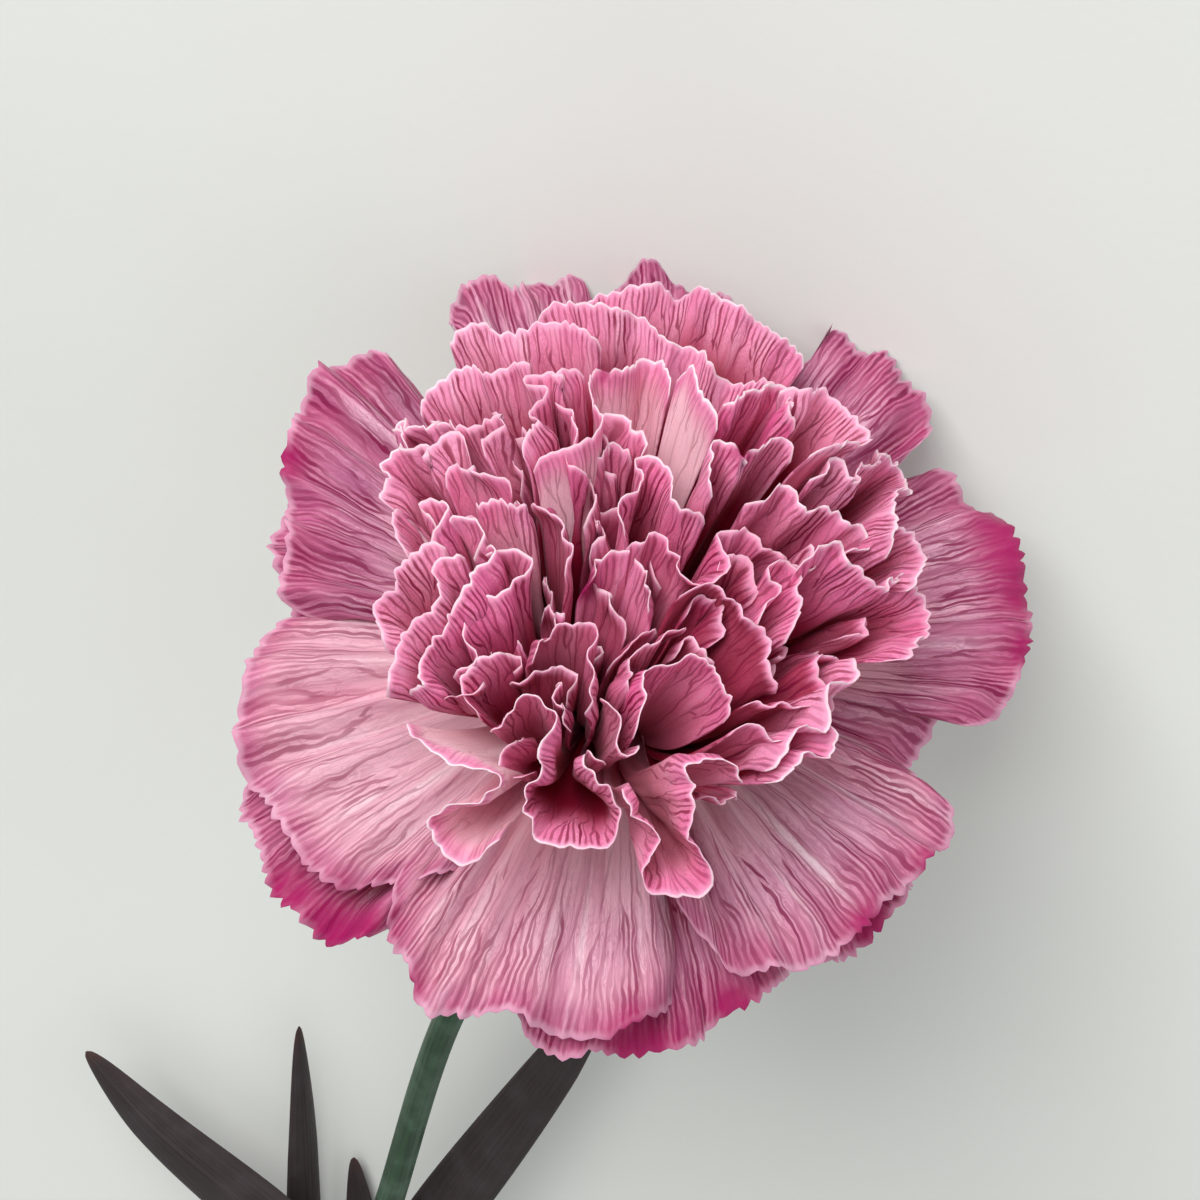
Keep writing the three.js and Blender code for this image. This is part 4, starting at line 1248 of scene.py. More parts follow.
@dataclass
class PetalWhorl:
    """Petals of one kind, with the sizes of their ruffles, teeth and thickness in mm."""

    space: FlowerSpace
    finish: PetalFinish
    slot: str
    prefix: str
    drawings: tuple[Drawing, ...]
    seed: int
    replaces: bool = True
    lean: float = 0.0
    claw_start: float = -25.0
    claw_width: float = 0.12
    foot_width: float = 0.06
    tube_rows: int = 4
    bend_rows: int = 9
    blade_rows: int = 22
    tooth_gap: Pair = (0.9, 1.9)
    tooth_height: float = 0.5
    corner: float = 1.2
    wave: Pair = (4.5, 8.0)
    wave_height: float = 0.6
    crinkle: Pair = (1.8, 3.4)
    crinkle_height: float = 0.24
    crinkle_depth: float = 7.0
    pleat: Pair = (3.0, 5.0)
    pleat_height: float = 0.15
    curl: float = 0.7
    curl_depth: float = 3.5
    uneven: Pair = (8.0, 14.0)
    wander: Pair = (7.0, 12.0)
    claw_half: float = 0.16
    blade_half: float = 0.11
    rim_half: float = 0.045
    thinning: float = 1.5
    stain_depth: float = 8.0
    # painted shade of the scattered deep folds
    deep_shade: Pair = (0.45, 0.95)
    line_steps: int = 8
    first_scale: Pair = (60.0, 50.0)
    first_length: float = 38.0

    def margin(self, drawing: Drawing) -> Values:
        """Rays and lengths of a drawn margin.

        Args:
            drawing: the margin.

        Returns:
            Ray x, ray y and length for each point of the smooth margin.
        """
        space = self.space
        line = smooth_line(drawing.points, self.line_steps)
        target = space.from_sheet(line)
        lean = space.sheet_lean
        across = target[:, 0] * math.cos(lean) - target[:, 1] * math.sin(lean)
        upward = target[:, 0] * math.sin(lean) + target[:, 1] * math.cos(lean)
        if drawing.given is Margin.REACH:
            length = drawing.value[0]
            raised = upward - length * math.sin(space.sheet_tilt)
            start = np.stack([across, raised], -1) / self.first_scale

            def seen(rays: Values) -> Values:
                """Where the ends of rays of this length are seen."""
                return space.seen_at(space.ray_point(rays, np.full(len(rays), length), self.lean))

            rays = solve_pairs(seen, start, target, (0.1, 0.1))
            return np.c_[rays, np.full(len(rays), length)]
        along = running_lengths(line)
        turn = np.radians(np.interp(along / along[-1], (0, 1), drawing.value)) / space.full_spread
        start = np.stack([np.arctan2(upward - 3, across), np.full(len(line), self.first_length)], -1)

        def rays_at(angle: Values) -> Values:
            """Rays at angles around the axis."""
            return np.stack([np.cos(angle) * turn, np.sin(angle) * turn], -1)

        def seen_from(pairs: Values) -> Values:
            """Where the ends of rays of these angles and lengths are seen."""
            return space.seen_at(space.ray_point(rays_at(pairs[:, 0]), pairs[:, 1], self.lean))

        solved = solve_pairs(seen_from, start, target, (0.3, 6.0))
        return np.c_[rays_at(solved[:, 0]), solved[:, 1]]

    def teeth(self, length: float, random: np.random.Generator) -> tuple[Values, Values]:
        """Irregular teeth along a margin.

        Args:
            length: length of the margin.
            random: source of their sizes.

        Returns:
            Places along the margin, and how far it stands out at each.
        """
        places, heights = [0.0], [0.0]
        while places[-1] < length:
            gap = random.uniform(*self.tooth_gap)
            height = self.tooth_height * random.uniform(0.25, 1.0)
            lean = random.uniform(0.3, 0.7)
            foot = self.tooth_height * random.uniform(-0.25, 0.1)
            start = places[-1]
            places += [start + gap * lean * 0.5, start + gap * lean,
                       start + gap * (lean + 1) * 0.5, start + gap]
            heights += [height * 0.6, height, height * 0.5, foot]
        return np.array(places) * length / places[-1], np.array(heights)

    def width_at(self, distance: Values, knee: float) -> Values:
        """Share of its fan that a petal has.

        Args:
            distance: how far along the petal.
            knee: where it has opened to the whole fan.

        Returns:
            1 for the whole fan.
        """
        tube = self.foot_width + (self.claw_width - self.foot_width) * (1 + distance / -self.claw_start)
        blade = self.claw_width + (1 - self.claw_width) * ease(distance, 0, knee)
        return np.where(distance < 0, tube, blade)

    def rims(self) -> dict[str, Values]:
        """Margins of the whorl by petal name."""
        return {drawing.name: self.margin(drawing) for drawing in self.drawings}

    def rows(self, length: Values, teeth: Values, knee: float) -> Values:
        """Distances along a petal, row by row from its claw to its rim.

        Args:
            length: length of the petal at each column.
            teeth: how far its margin stands out at each column.
            knee: where the claw has opened to the whole fan.

        Returns:
            The distances, rows by columns.
        """
        tube = np.linspace(self.claw_start, 0, self.tube_rows, endpoint=False)
        bend = np.linspace(0, knee, self.bend_rows, endpoint=False)
        blade = np.linspace(0, 1, self.blade_rows) ** 0.8
        rows = [np.full(len(length), d) for d in (*tube, *bend)]
        rows += [knee + (length - knee) * t + teeth * t ** 5 for t in blade]
        return np.stack(rows)

    def ruffles(self, places: Values, edge: Values, open_share: Values,
                random: np.random.Generator) -> Values:
        """How far a petal is lifted off its fan.

        Args:
            places: places along its margin, one for each column.
            edge: distance from the rim.
            open_share: 0 deep in the flower to 1 at the rim.
            random: source of the ruffles.

        Returns:
            The lift in mm.
        """
        drift = places[None, :] + 0.5 * ripple(edge, self.wander, random)
        near_rim = ease(-edge, -self.crinkle_depth, 0)
        lift = self.wave_height * ripple(drift, self.wave, random) * open_share ** 1.5
        lift += self.crinkle_height * ripple(drift, self.crinkle, random) * near_rim
        pleats = self.pleat_height * ripple(places[None, :], self.pleat, random)
        lift += pleats * ease(open_share, 0, 0.6)
        uneven = 0.8 + 1.1 * ripple(places[None, :], self.uneven, random)
        return lift - self.curl * uneven * ease(-edge, -self.curl_depth, 0) ** 2

    def marks(self, name: str, points: Values, edge: Values,
              random: np.random.Generator) -> dict[str, tuple[Values, Values]]:
        """Values for the material of a petal, on its inner and on its outer face.

        Args:
            name: name of the petal.
            points: its middle surface.
            edge: distance from the rim.
            random: source of its tone.

        Returns:
            The two faces' values by attribute name.
        """
        # paler tone: partly its own, partly painted light
        tint = TINT_AND_LIGHT.get(name, random.uniform(0, 1))
        # painted shade: random for the scattered deep folds, from SHADE for the others
        dark = random.uniform(*self.deep_shade) if name.startswith("deep") else SHADE.get(name, 0.0)
        even = {"tint": tint, "cream": CREAM.get(name, 0.0), "shade": dark}
        values = {key: np.full(edge.shape, value) for key, value in even.items()}
        values |= {"rim_distance": edge, "stain": self.stain(points, edge)}
        marks = {key: (value, value) for key, value in values.items()}
        return marks | {"outer_side": (np.zeros(edge.shape), np.ones(edge.shape))}

    def surface(self, name: str, rim: Values, random: np.random.Generator) -> Sheet:
        """Closed sheet of one petal.

        Args:
            name: name of the petal.
            rim: its margin.
            random: source of its ruffles.

        Returns:
            The sheet.
        """
        space = self.space
        rim_line = running_lengths(space.ray_point(rim[:, :2], rim[:, 2], self.lean))
        places, teeth = self.teeth(rim_line[-1], random)
        ends = np.minimum(places, rim_line[-1] - places)
        teeth = teeth - self.corner * (1 - np.minimum(ends / (self.corner * 1.6), 1)) ** 2
        knee = min(space.bend_length, 0.8 * rim[:, 2].min())
        length = np.interp(places, rim_line, rim[:, 2])
        distance = self.rows(length, teeth, knee)
        middle = rim_line[-1] / 2
        where = middle + (places[None, :] - middle) * self.width_at(distance, knee)
        rays = sample(rim[:, :2], rim_line, where.ravel()).reshape(*where.shape, 2)
        points = space.ray_point(rays, distance, self.lean)
        edge = distance[-1] - distance
        open_share = np.clip((distance - knee * 0.6) / (length - knee * 0.6), 0, 1)
        normal = self.inward(points, open_share)
        lift = CALM.get(name, 1.0) * self.ruffles(places, edge, open_share, random)
        points = points + normal * lift[..., None]
        half = self.claw_half + (self.blade_half - self.claw_half) * ease(distance, -10, knee)
        half = (half + (self.rim_half - half) * ease(-edge, -self.thinning, 0))[..., None]
        marks = self.marks(name, points, edge, random)
        pattern = np.stack(np.broadcast_arrays(places[None, :] + 100 * random.uniform(), distance), -1)
        front, back = space.rest(points + normal * half), space.rest(points - normal * half)
        return Sheet(front, back, pattern, marks)

    def inward(self, points: Values, weight: Values) -> Values:
        """Unit normals that mostly face the inside of the flower.

        Args:
            points: surface of a petal.
            weight: how much each point counts for the side.

        Returns:
            A normal for each point.
        """
        normal = np.cross(np.gradient(points, axis=1), np.gradient(points, axis=0))
        normal /= np.maximum(np.linalg.norm(normal, axis=-1, keepdims=True), 1e-9)
        offset = points - self.space.mouth
        out = offset - (offset @ self.space.axis)[..., None] * self.space.axis
        out /= np.maximum(np.linalg.norm(out, axis=-1, keepdims=True), 1e-9)
        facing = np.einsum("ijk,ijk->ij", normal, self.space.axis * 0.8 - out)
        return normal * (1 if (facing * weight).sum() >= 0 else -1)

    def stain(self, points: Values, edge: Values) -> Values:
        """Strength of the magenta patches near the rim.

        Args:
            points: surface of a petal.
            edge: distance from its rim.

        Returns:
            0 outside the patches to 0.95.
        """
        seen = self.space.seen_at(points)
        total = np.zeros(edge.shape)
        for x, y, radius in STAINS if self.replaces else ():
            away = np.linalg.norm(seen - self.space.from_sheet(np.array([x, y])), axis=-1)
            total = np.maximum(total, np.exp(-(away / (radius * self.space.sheet_unit)) ** 2))
        return np.clip(1.5 * total, 0, 0.95) * ease(-edge, -self.stain_depth, -1.0)

    def build(self, rims: dict[str, Values]) -> None:
        """Build and place a petal for each margin.

        Args:
            rims: margins by petal name.
        """
        material = self.finish.material()
        for k, (petal, rim) in enumerate(rims.items()):
            random = np.random.default_rng(self.seed + k)
            name = f"{self.prefix}_{petal}"
            nodes = (name,) if self.replaces else ()
            mesh = self.surface(petal, rim, random).mesh(f"{name}_blade")
            add_piece(f"{name}_blade", mesh, material, self.slot, nodes)


# ---- calyx ---------------------------------------------------------------------------


@dataclass
class Calyx:
    """The tube that holds the claws, with its teeth, nerves and clasping bracts, in mm."""

    space: FlowerSpace
    foot_radius: float = 5.6
    mouth_radius: float = 7.6
    belly: float = 0.5
    lean: float = 0.42
    wall: float = 0.6
    rim_wall: float = 0.25
    tooth: float = 3.2
    valley: float = 1.5
    sharpness: float = 1.5
    teeth: int = 5
    keel: float = 0.25
    keel_sharpness: float = 8
    sides: int = 200
    rows: int = 40
    row_growth: float = 1.4
    closing: Pair = (0.6, 0.2)
    nerve: float = 0.07
    nerves: int = 35
    floor: float = 2.4
    rounding: float = 2.4
    rounding_height: float = 3.4
    gap: float = 0.3
    bracts: int = 4
    bract_length: float = 10.0
    bract_thickness: float = 0.5
    bract_half_angle: float = math.radians(40)
    bract_overhang: float = 0.5
    bract_rounding: float = 0.12
    bract_narrowing: float = 0.9
    bract_fullness: float = 2.4
    bract_keel: float = 0.2
    bract_nerve: float = 0.04
    bract_half_width: float = 4.0
    bract_steps: int = 25

    def inside(self, along: Values) -> Values:
        """Inner radius at a height.

        Args:
            along: heights, 0 at the mouth.

        Returns:
            The radius at each.
        """
        share = np.clip(along / self.space.tube_length + 1, None, 1)
        belly = self.belly * np.sin(math.pi * np.clip(share, 0, 1))
        widening = (self.mouth_radius - self.foot_radius) * share
        return self.foot_radius + widening + belly + self.lean * np.maximum(along, 0)

    def outside(self, along: Values) -> Values:
        """Outer radius without nerves, drawn in at the foot.

        Args:
            along: heights, 0 at the mouth.

        Returns:
            The radius at each.
        """
        top = self.rounding_height - self.space.tube_length - self.floor
        share = np.maximum(top - along, 0) / self.rounding_height
        return self.inside(along) - self.rounding * share ** 2

    def rim(self, angle: Values) -> Values:
        """Height of the toothed rim."""
        wave = np.abs(np.cos(angle * self.teeth / 2))
        return -self.valley + (self.tooth + self.valley) * wave ** self.sharpness

    def tube(self) -> bpy.types.Mesh:
        """Mesh of the tube: an outer and an inner wall with a floor between them.

        Returns:
            The mesh.
        """
        angle = np.linspace(0, 2 * math.pi, self.sides, endpoint=False)[None, :]
        share = np.linspace(0, 1, self.rows)[:, None]
        rim = self.rim(angle)
        foot = -self.space.tube_length - self.floor
        outer_along = foot + (rim - foot) * share ** self.row_growth
        wall = self.wall + (self.rim_wall - self.wall) * ease(share, 0.8, 1)
        nerve = self.nerve * np.cos(angle * self.nerves) * ease(share, 0.05, 0.25)
        keel = np.abs(np.cos(angle * self.teeth / 2)) ** self.keel_sharpness
        keel = self.keel * keel * ease(share, 0.6, 0.95)
        outer = self.outside(outer_along) + wall + nerve + keel
        inner_foot = -self.space.tube_length
        inner_along = inner_foot + (rim - inner_foot) * share[::-1]
        inner = self.inside(inner_along) + 0 * angle
        closing = [(inner[-1] * t, inner_along[-1]) for t in self.closing]
        closing += [(outer[0] * t, outer_along[0]) for t in self.closing[::-1]]
        radius = np.vstack([outer, inner, *(r[None] for r, _ in closing)])
        along = np.vstack([outer_along, inner_along, *(a[None] for _, a in closing)])
        points = self.space.point(angle, radius, along)
        tip = ease(along - rim, -2.2, 0)
        pattern = np.stack([angle * self.mouth_radius + 0 * along, along], -1)
        quads = ring_quads(len(radius), self.sides, closed=True)
        return make_mesh("calyx_tube", self.space.place(points.reshape(-1, 3)), quads,
                         pattern.reshape(-1, 2), {"tip": 0.7 * tip.ravel()})

    def bract(self) -> bpy.types.Mesh:
        """One bract in the axis's own frame, in metres.

        Returns:
            Its mesh.
        """
        column = np.linspace(-1, 1, self.bract_steps)[None, :]
        row = np.linspace(0, 1, self.bract_steps)[:, None]
        foot = -self.space.tube_length - self.bract_overhang
        along = foot + self.bract_length * row * (1 - self.bract_rounding * column ** 2)
        angle = self.bract_half_angle * column * (1 - self.bract_narrowing * row ** self.bract_fullness)
        keel = self.bract_keel * np.exp(-(column / 0.12) ** 2) * (1 - row * 0.5)
        nerve = self.bract_nerve * np.cos(column * 26)

        def wall(height: Values) -> Values:
            """Face of the bract at a height over the calyx."""
            radius = self.outside(along) + self.wall + self.gap + height
            return np.stack([radius * np.cos(angle), radius * np.sin(angle), along + 0 * angle], -1) * MM

        thickness = self.bract_thickness * (1 - 0.6 * ease(np.abs(column), 0.6, 1) + 0 * row)
        tip = ease(row + 0.2 * np.abs(column), 0.8, 1.1)
        pattern = np.stack([column * self.bract_half_width + 0 * row, along], -1)
        sheet = Sheet(wall(0 * angle), wall(thickness + keel + nerve), pattern, {"tip": (tip, tip)})
        return sheet.mesh("bract")

    def ring_tree(self) -> bpy.types.GeometryNodeTree:
        """Tree that repeats a bract around the floral axis.

        Returns:
            The tree.
        """
        tree = growth_tree("bract_ring", {"Bract": "Geometry", "Count": "Int", "First turn": "Float",
                                          "Turn": "Vector", "Place": "Vector", "Finish": "Material"})
        given = tree.node("NodeGroupInput")
        count = given["Count"]
        seats = tree.node("GeometryNodeMeshLine", None, {"Count": count, "Offset": (0, 0, 0)})
        part = count.math("DIVIDE", 2 * math.pi, count)
        turn = tree.node("GeometryNodeInputIndex")[0] * part + given["First turn"]
        spin = tree.node("ShaderNodeCombineXYZ", None, {"Z": turn})[0]
        copies = tree.node("GeometryNodeInstanceOnPoints", None, {
            "Points": seats["Mesh"], "Instance": given["Bract"], "Rotation": spin})["Instances"]
        solid = tree.node("GeometryNodeRealizeInstances", None, {"Geometry": copies})["Geometry"]
        placed = tree.node("GeometryNodeTransform", None, {
            "Geometry": solid, "Translation": given["Place"], "Rotation": given["Turn"]})["Geometry"]
        return dressed(tree, placed, given["Finish"])

    def build(self, finish: GreenFinish) -> None:
        """Build the tube and the ring of bracts.

        Args:
            finish: finish of both.
        """
        material = finish.material()
        add_piece("calyx_tube", self.tube(), material, "calyx", ("calyx",))
        space = self.space
        turned = Matrix((space.side, space.back, space.axis)).transposed().to_euler()
        mesh = grown(self.bract(), self.ring_tree(), {
            "Count": self.bracts, "First turn": math.pi / self.bracts, "Turn": tuple(turned),
            "Place": tuple(space.place(space.mouth)), "Finish": material})
        nodes = [f"calyx_bract_{k + 1}" for k in range(self.bracts)]
        add_piece("calyx_bracts", mesh, material, "calyx", nodes)
        for slot in bpy.data.objects["receptacle"].material_slots:
            slot.material = material


# ---- stem and leaves -----------------------------------------------------------------


def path_mesh(name: str, points: Values, values: dict[str, Values],
              closed: bool = False) -> bpy.types.Mesh:
    """Line of edges with values at its points.

    Args:
        name: name of the mesh.
        points: the points of the line.
        values: values at its points, by attribute name.
        closed: whether it ends where it starts.

    Returns:
        The mesh.
    """
    count = len(points)
    edges = [(k, k + 1) for k in range(count - 1)] + ([(count - 1, 0)] if closed else [])
    mesh = bpy.data.meshes.new(name)
    mesh.from_pydata([tuple(p) for p in points], edges, [])
    for key, value in values.items():
        mesh.attributes.new(key, "FLOAT", "POINT").data.foreach_set("value", value.astype(np.float32))
    return mesh


def sweep_tree() -> bpy.types.GeometryNodeTree:
    """Tree that draws a section along a path, scaled by the path's girth.

    Returns:
        The tree.
    """
    tree = growth_tree("sweep", {"Path": "Geometry", "Section": "Object", "Twist": "Float",
                                 "Ridge": "Float", "Ridge scale": "Float", "Finish": "Material"})
    given = tree.node("NodeGroupInput")
    path = tree.node("GeometryNodeMeshToCurve", None, {"Mesh": given["Path"]})["Curve"]
    level = tree.node("GeometryNodeSetCurveNormal", {"mode": "Z_UP"}, {"Curve": path})["Curve"]
    tilted = tree.node("GeometryNodeSetCurveTilt", None, {
        "Curve": level, "Tilt": given["Twist"]})["Curve"]
    girth = tree.node("GeometryNodeInputNamedAttribute", {"data_type": "FLOAT"}, {"Name": "girth"})
    section = tree.node("GeometryNodeObjectInfo", None, {"Object": given["Section"]})["Geometry"]
    profile = tree.node("GeometryNodeMeshToCurve", None, {"Mesh": section})["Curve"]
    swept = tree.node("GeometryNodeCurveToMesh", None, {
        "Curve": tilted, "Profile Curve": profile, "Scale": girth["Attribute"],
        "Fill Caps": True})["Mesh"]
    normal = tree.node("GeometryNodeInputNormal")[0]
    grain = tree.node("ShaderNodeTexNoise", None, {
        "Vector": tree.node("ShaderNodeVectorMath", {"operation": "SCALE"}, {
            0: normal, "Scale": given["Ridge scale"]})[0], "Scale": 1.0, "Detail": 1.0})["Fac"]
    height = (grain - 0.5) * given["Ridge"]
    push = tree.node("ShaderNodeVectorMath", {"operation": "SCALE"}, {0: normal, "Scale": height})[0]
    ridged = tree.node("GeometryNodeSetPosition", None, {"Geometry": swept, "Offset": push})["Geometry"]
    solid = tree.node("GeometryNodeRealizeInstances", None, {"Geometry": ridged})["Geometry"]
    return dressed(tree, solid, given["Finish"])


@dataclass(frozen=True)
class Leaf:
    """One leaf: the stem point that it grows from, its width, twist and middle line."""

    name: str
    node: int
    width: float
    twist: float
    line: tuple[Triple, ...]


@dataclass
class Stalk:
    """The jointed stem and its leaves, drawn on the sheet with heights over the floor."""

    space: FlowerSpace
    line: tuple[Triple, ...] = (
        (452, 1010, 16.4), (391, 1196, 11.8), (362, 1284, 9.8),
        (326, 1392, 6.9), (296, 1480, 4.5), (272, 1552, 2.0))
    joints: tuple[int, ...] = (2, 4)
    leaves: tuple[Leaf, ...] = (
        Leaf("left", 2, 8.5, 0.15, ((256, 1208, 10), (152, 1120, 9.5), (88, 1050, 8))),
        Leaf("right", 2, 7.8, -0.15, ((456, 1194, 9), (556, 1064, 8), (612, 985, 7.5))),
        Leaf("low_left", 4, 6.0, 0.9, ((305, 1330, 3.4), (306, 1150, 4), (300, 1025, 6))),
        Leaf("low_right", 4, 6.0, 0.1, ((352, 1340, 2.4), (362, 1230, 1.8), (355, 1155, 1.4))))
    radius: float = 1.6
    taper: float = 0.4
    neck: float = 1.2
    neck_length: float = 6.0
    neck_fade: float = 25.0
    swelling: float = 0.9
    joint_length: float = 4.0
    crease: float = 0.18
    crease_place: float = 0.2
    crease_width: float = 0.45
    ridge: float = 0.00012
    ridge_scale: float = 3.0
    gap: float = 0.3
    calyx_floor: float = 2.4
    sides: int = 48
    steps: int = 24
    leaf_thickness: float = 0.7
    leaf_steps: int = 30
    leaf_columns: int = 21
    leaf_foot: float = 0.32
    leaf_tip: float = 0.03
    leaf_balance: float = 0.75
    keel: float = 1.1
    rib: float = 0.05
    rib_width: float = 0.08

    def __post_init__(self) -> None:
        """Work out the middle line of the stem."""
        foot = -self.space.tube_length - self.calyx_floor - self.gap
        zero = np.array(0.0)
        top = [self.space.point(zero, zero, np.array(a)) for a in (foot, foot - self.neck_length)]
        self.knots = np.array([*top, *(self.space.at_height(p) for p in self.line)])
        self.middle = smooth_line(self.knots, self.steps)

    def girth(self, places: Values) -> Values:
        """Radius of the stem at points of its middle line.

        Args:
            places: numbers of the points.

        Returns:
            The radius at each.
        """
        share = np.linspace(0, 1, len(self.middle))
        marks = [self.middle[(k + 2) * self.steps] for k in self.joints]
        away = np.min([np.linalg.norm(self.middle - m, axis=1) for m in marks], 0)
        swelling = self.swelling * np.exp(-(away / self.joint_length) ** 2)
        crease = self.crease * np.exp(-((away - self.crease_place) / self.crease_width) ** 2)
        neck = self.neck * np.exp(-share * self.neck_fade)
        return (self.radius + self.taper * share + neck + swelling - crease)[places]

    def section(self, name: str, points: Values, across: Values) -> bpy.types.Object:
        """Closed line that is drawn along a path.

        Args:
            name: name of the line.
            points: its points, flat.
            across: place of each around it.

        Returns:
            The line.
        """
        flat = np.c_[points, np.zeros(len(points))]
        line = bpy.data.objects.new(name, path_mesh(name, flat, {"across": across}, closed=True))
        bpy.context.scene.collection.objects.link(line)
        return line

    def stem(self, tree: bpy.types.GeometryNodeTree, material: bpy.types.Material) -> bpy.types.Mesh:
        """Mesh of the stem.

        Args:
            tree: the tree that sweeps a section.
            material: its finish.

        Returns:
            The mesh.
        """
        angle = np.linspace(0, 2 * math.pi, self.sides, endpoint=False)
        circle = self.section("stem_section", np.c_[np.cos(angle), np.sin(angle)], angle * self.radius)
        path = path_mesh("stem_path", self.space.place(self.middle), {
            "girth": self.girth(np.arange(len(self.middle))) * MM, "along": running_lengths(self.middle)})
        mesh = grown(path, tree, {"Section": circle, "Twist": 0.0, "Ridge": self.ridge,
                                  "Ridge scale": self.ridge_scale, "Finish": material})
        bpy.data.objects.remove(circle)
        return mesh

    def outline(self, share: Values) -> Values:
        """Outline of a leaf.

        Args:
            share: 0 at its foot to 1 at its tip.

        Returns:
            The half width, 1 at the widest.
        """
        foot = self.leaf_foot * (1 - share) ** 3
        blade = np.sin(math.pi * share ** self.leaf_balance) ** (0.8 - 0.25 * share) * (1 - 0.2 * share)
        return foot + blade + self.leaf_tip

    def gutter(self, leaf: Leaf) -> bpy.types.Object:
        """Section of a leaf, 1 to each side of its rib.

        Args:
            leaf: the leaf.

        Returns:
            The closed line.
        """
        column = np.linspace(-1, 1, self.leaf_columns)
        hollow = self.keel * 2 / leaf.width * (column ** 2 - 0.5)
        rib = self.rib * np.exp(-(column / self.rib_width) ** 2)
        thick = self.leaf_thickness / leaf.width * np.sqrt(np.maximum(1.02 - column ** 2, 0))
        upper = np.c_[column, hollow + thick - rib]
        lower = np.c_[column, hollow - thick - 2 * rib][::-1]
        across = np.r_[column, column[::-1]] * leaf.width / 2
        return self.section("leaf_section", np.vstack([upper, lower]), across)

    def leaf(self, leaf: Leaf, tree: bpy.types.GeometryNodeTree,
             material: bpy.types.Material) -> bpy.types.Mesh:
        """Mesh of one leaf: a keeled gutter that ends in a point.

        Args:
            leaf: the leaf.
            tree: the tree that sweeps a section.
            material: its finish.

        Returns:
            The mesh.
        """
        at = (leaf.node + 2) * self.steps
        foot = self.middle[at]
        run = self.middle[at + 1] - self.middle[at - 1]
        run /= np.linalg.norm(run)
        points = np.array([self.space.at_height(p) for p in leaf.line])
        outward = points[0] - foot
        outward -= (outward @ run) * run
        outward /= np.linalg.norm(outward)
        seat = foot + outward * (self.girth(np.array([at]))[0] + self.leaf_thickness / 2)
        line = smooth_line(np.vstack([seat, points]), self.leaf_steps)
        share = np.linspace(0, 1, len(line))
        half = leaf.width / 2 * self.outline(share)
        section = self.gutter(leaf)
        path = path_mesh("leaf_path", self.space.place(line), {
            "girth": half * MM, "along": running_lengths(line), "share": share})
        mesh = grown(path, tree, {"Section": section, "Twist": leaf.twist, "Ridge": 0.0,
                                  "Ridge scale": 1.0, "Finish": material})
        bpy.data.objects.remove(section)
        return mesh

    def dress(self, mesh: bpy.types.Mesh, tip: Callable[[Values], Values]) -> None:
        """Give a swept mesh its pattern coordinates and its tip mark.

        Args:
            mesh: the mesh.
            tip: strength of the mark for a share of the length.
        """
        count = len(mesh.vertices)
        across, along = np.zeros(count, np.float32), np.zeros(count, np.float32)
        mesh.attributes["across"].data.foreach_get("value", across)
        mesh.attributes["along"].data.foreach_get("value", along)
        corners = np.zeros(len(mesh.loops), np.int32)
        mesh.loops.foreach_get("vertex_index", corners)
        layer = mesh.uv_layers.new(name="pattern")
        layer.data.foreach_set("uv", np.stack([across, along], -1)[corners].ravel())
        mark = mesh.attributes.new("tip", "FLOAT", "POINT")
        mark.data.foreach_set("value", tip(along / along.max()).astype(np.float32))
        mesh.shade_smooth()

    def build(self, stem_finish: GreenFinish, leaf_finish: GreenFinish) -> None:
        """Build the stem and the leaves.

        Args:
            stem_finish: finish of the stem.
            leaf_finish: finish of the leaves.
        """
        tree = sweep_tree()
        material = stem_finish.material()
        mesh = self.stem(tree, material)
        self.dress(mesh, lambda share: ease(share, 0.997, 0.999))
        add_piece("stem_stalk", mesh, material, "stem", ("stem",))
        material = leaf_finish.material()
        for leaf in self.leaves:
            mesh = self.leaf(leaf, tree, material)
            self.dress(mesh, lambda share: 0.5 * ease(share, 0.94, 1) + 0.4 * ease(-share, -0.1, 0))
            add_piece(f"leaf_{leaf.name}_blade", mesh, material, "leaves", (f"leaf_{leaf.name}",))


# ---- studio --------------------------------------------------------------------------


@dataclass(frozen=True)
class Lamp:
    """Soft square light: its way from the head along right, up and sight, and metres away."""

    name: str
    way: Triple
    distance: float
    size: float
    watts: float
    tone: str


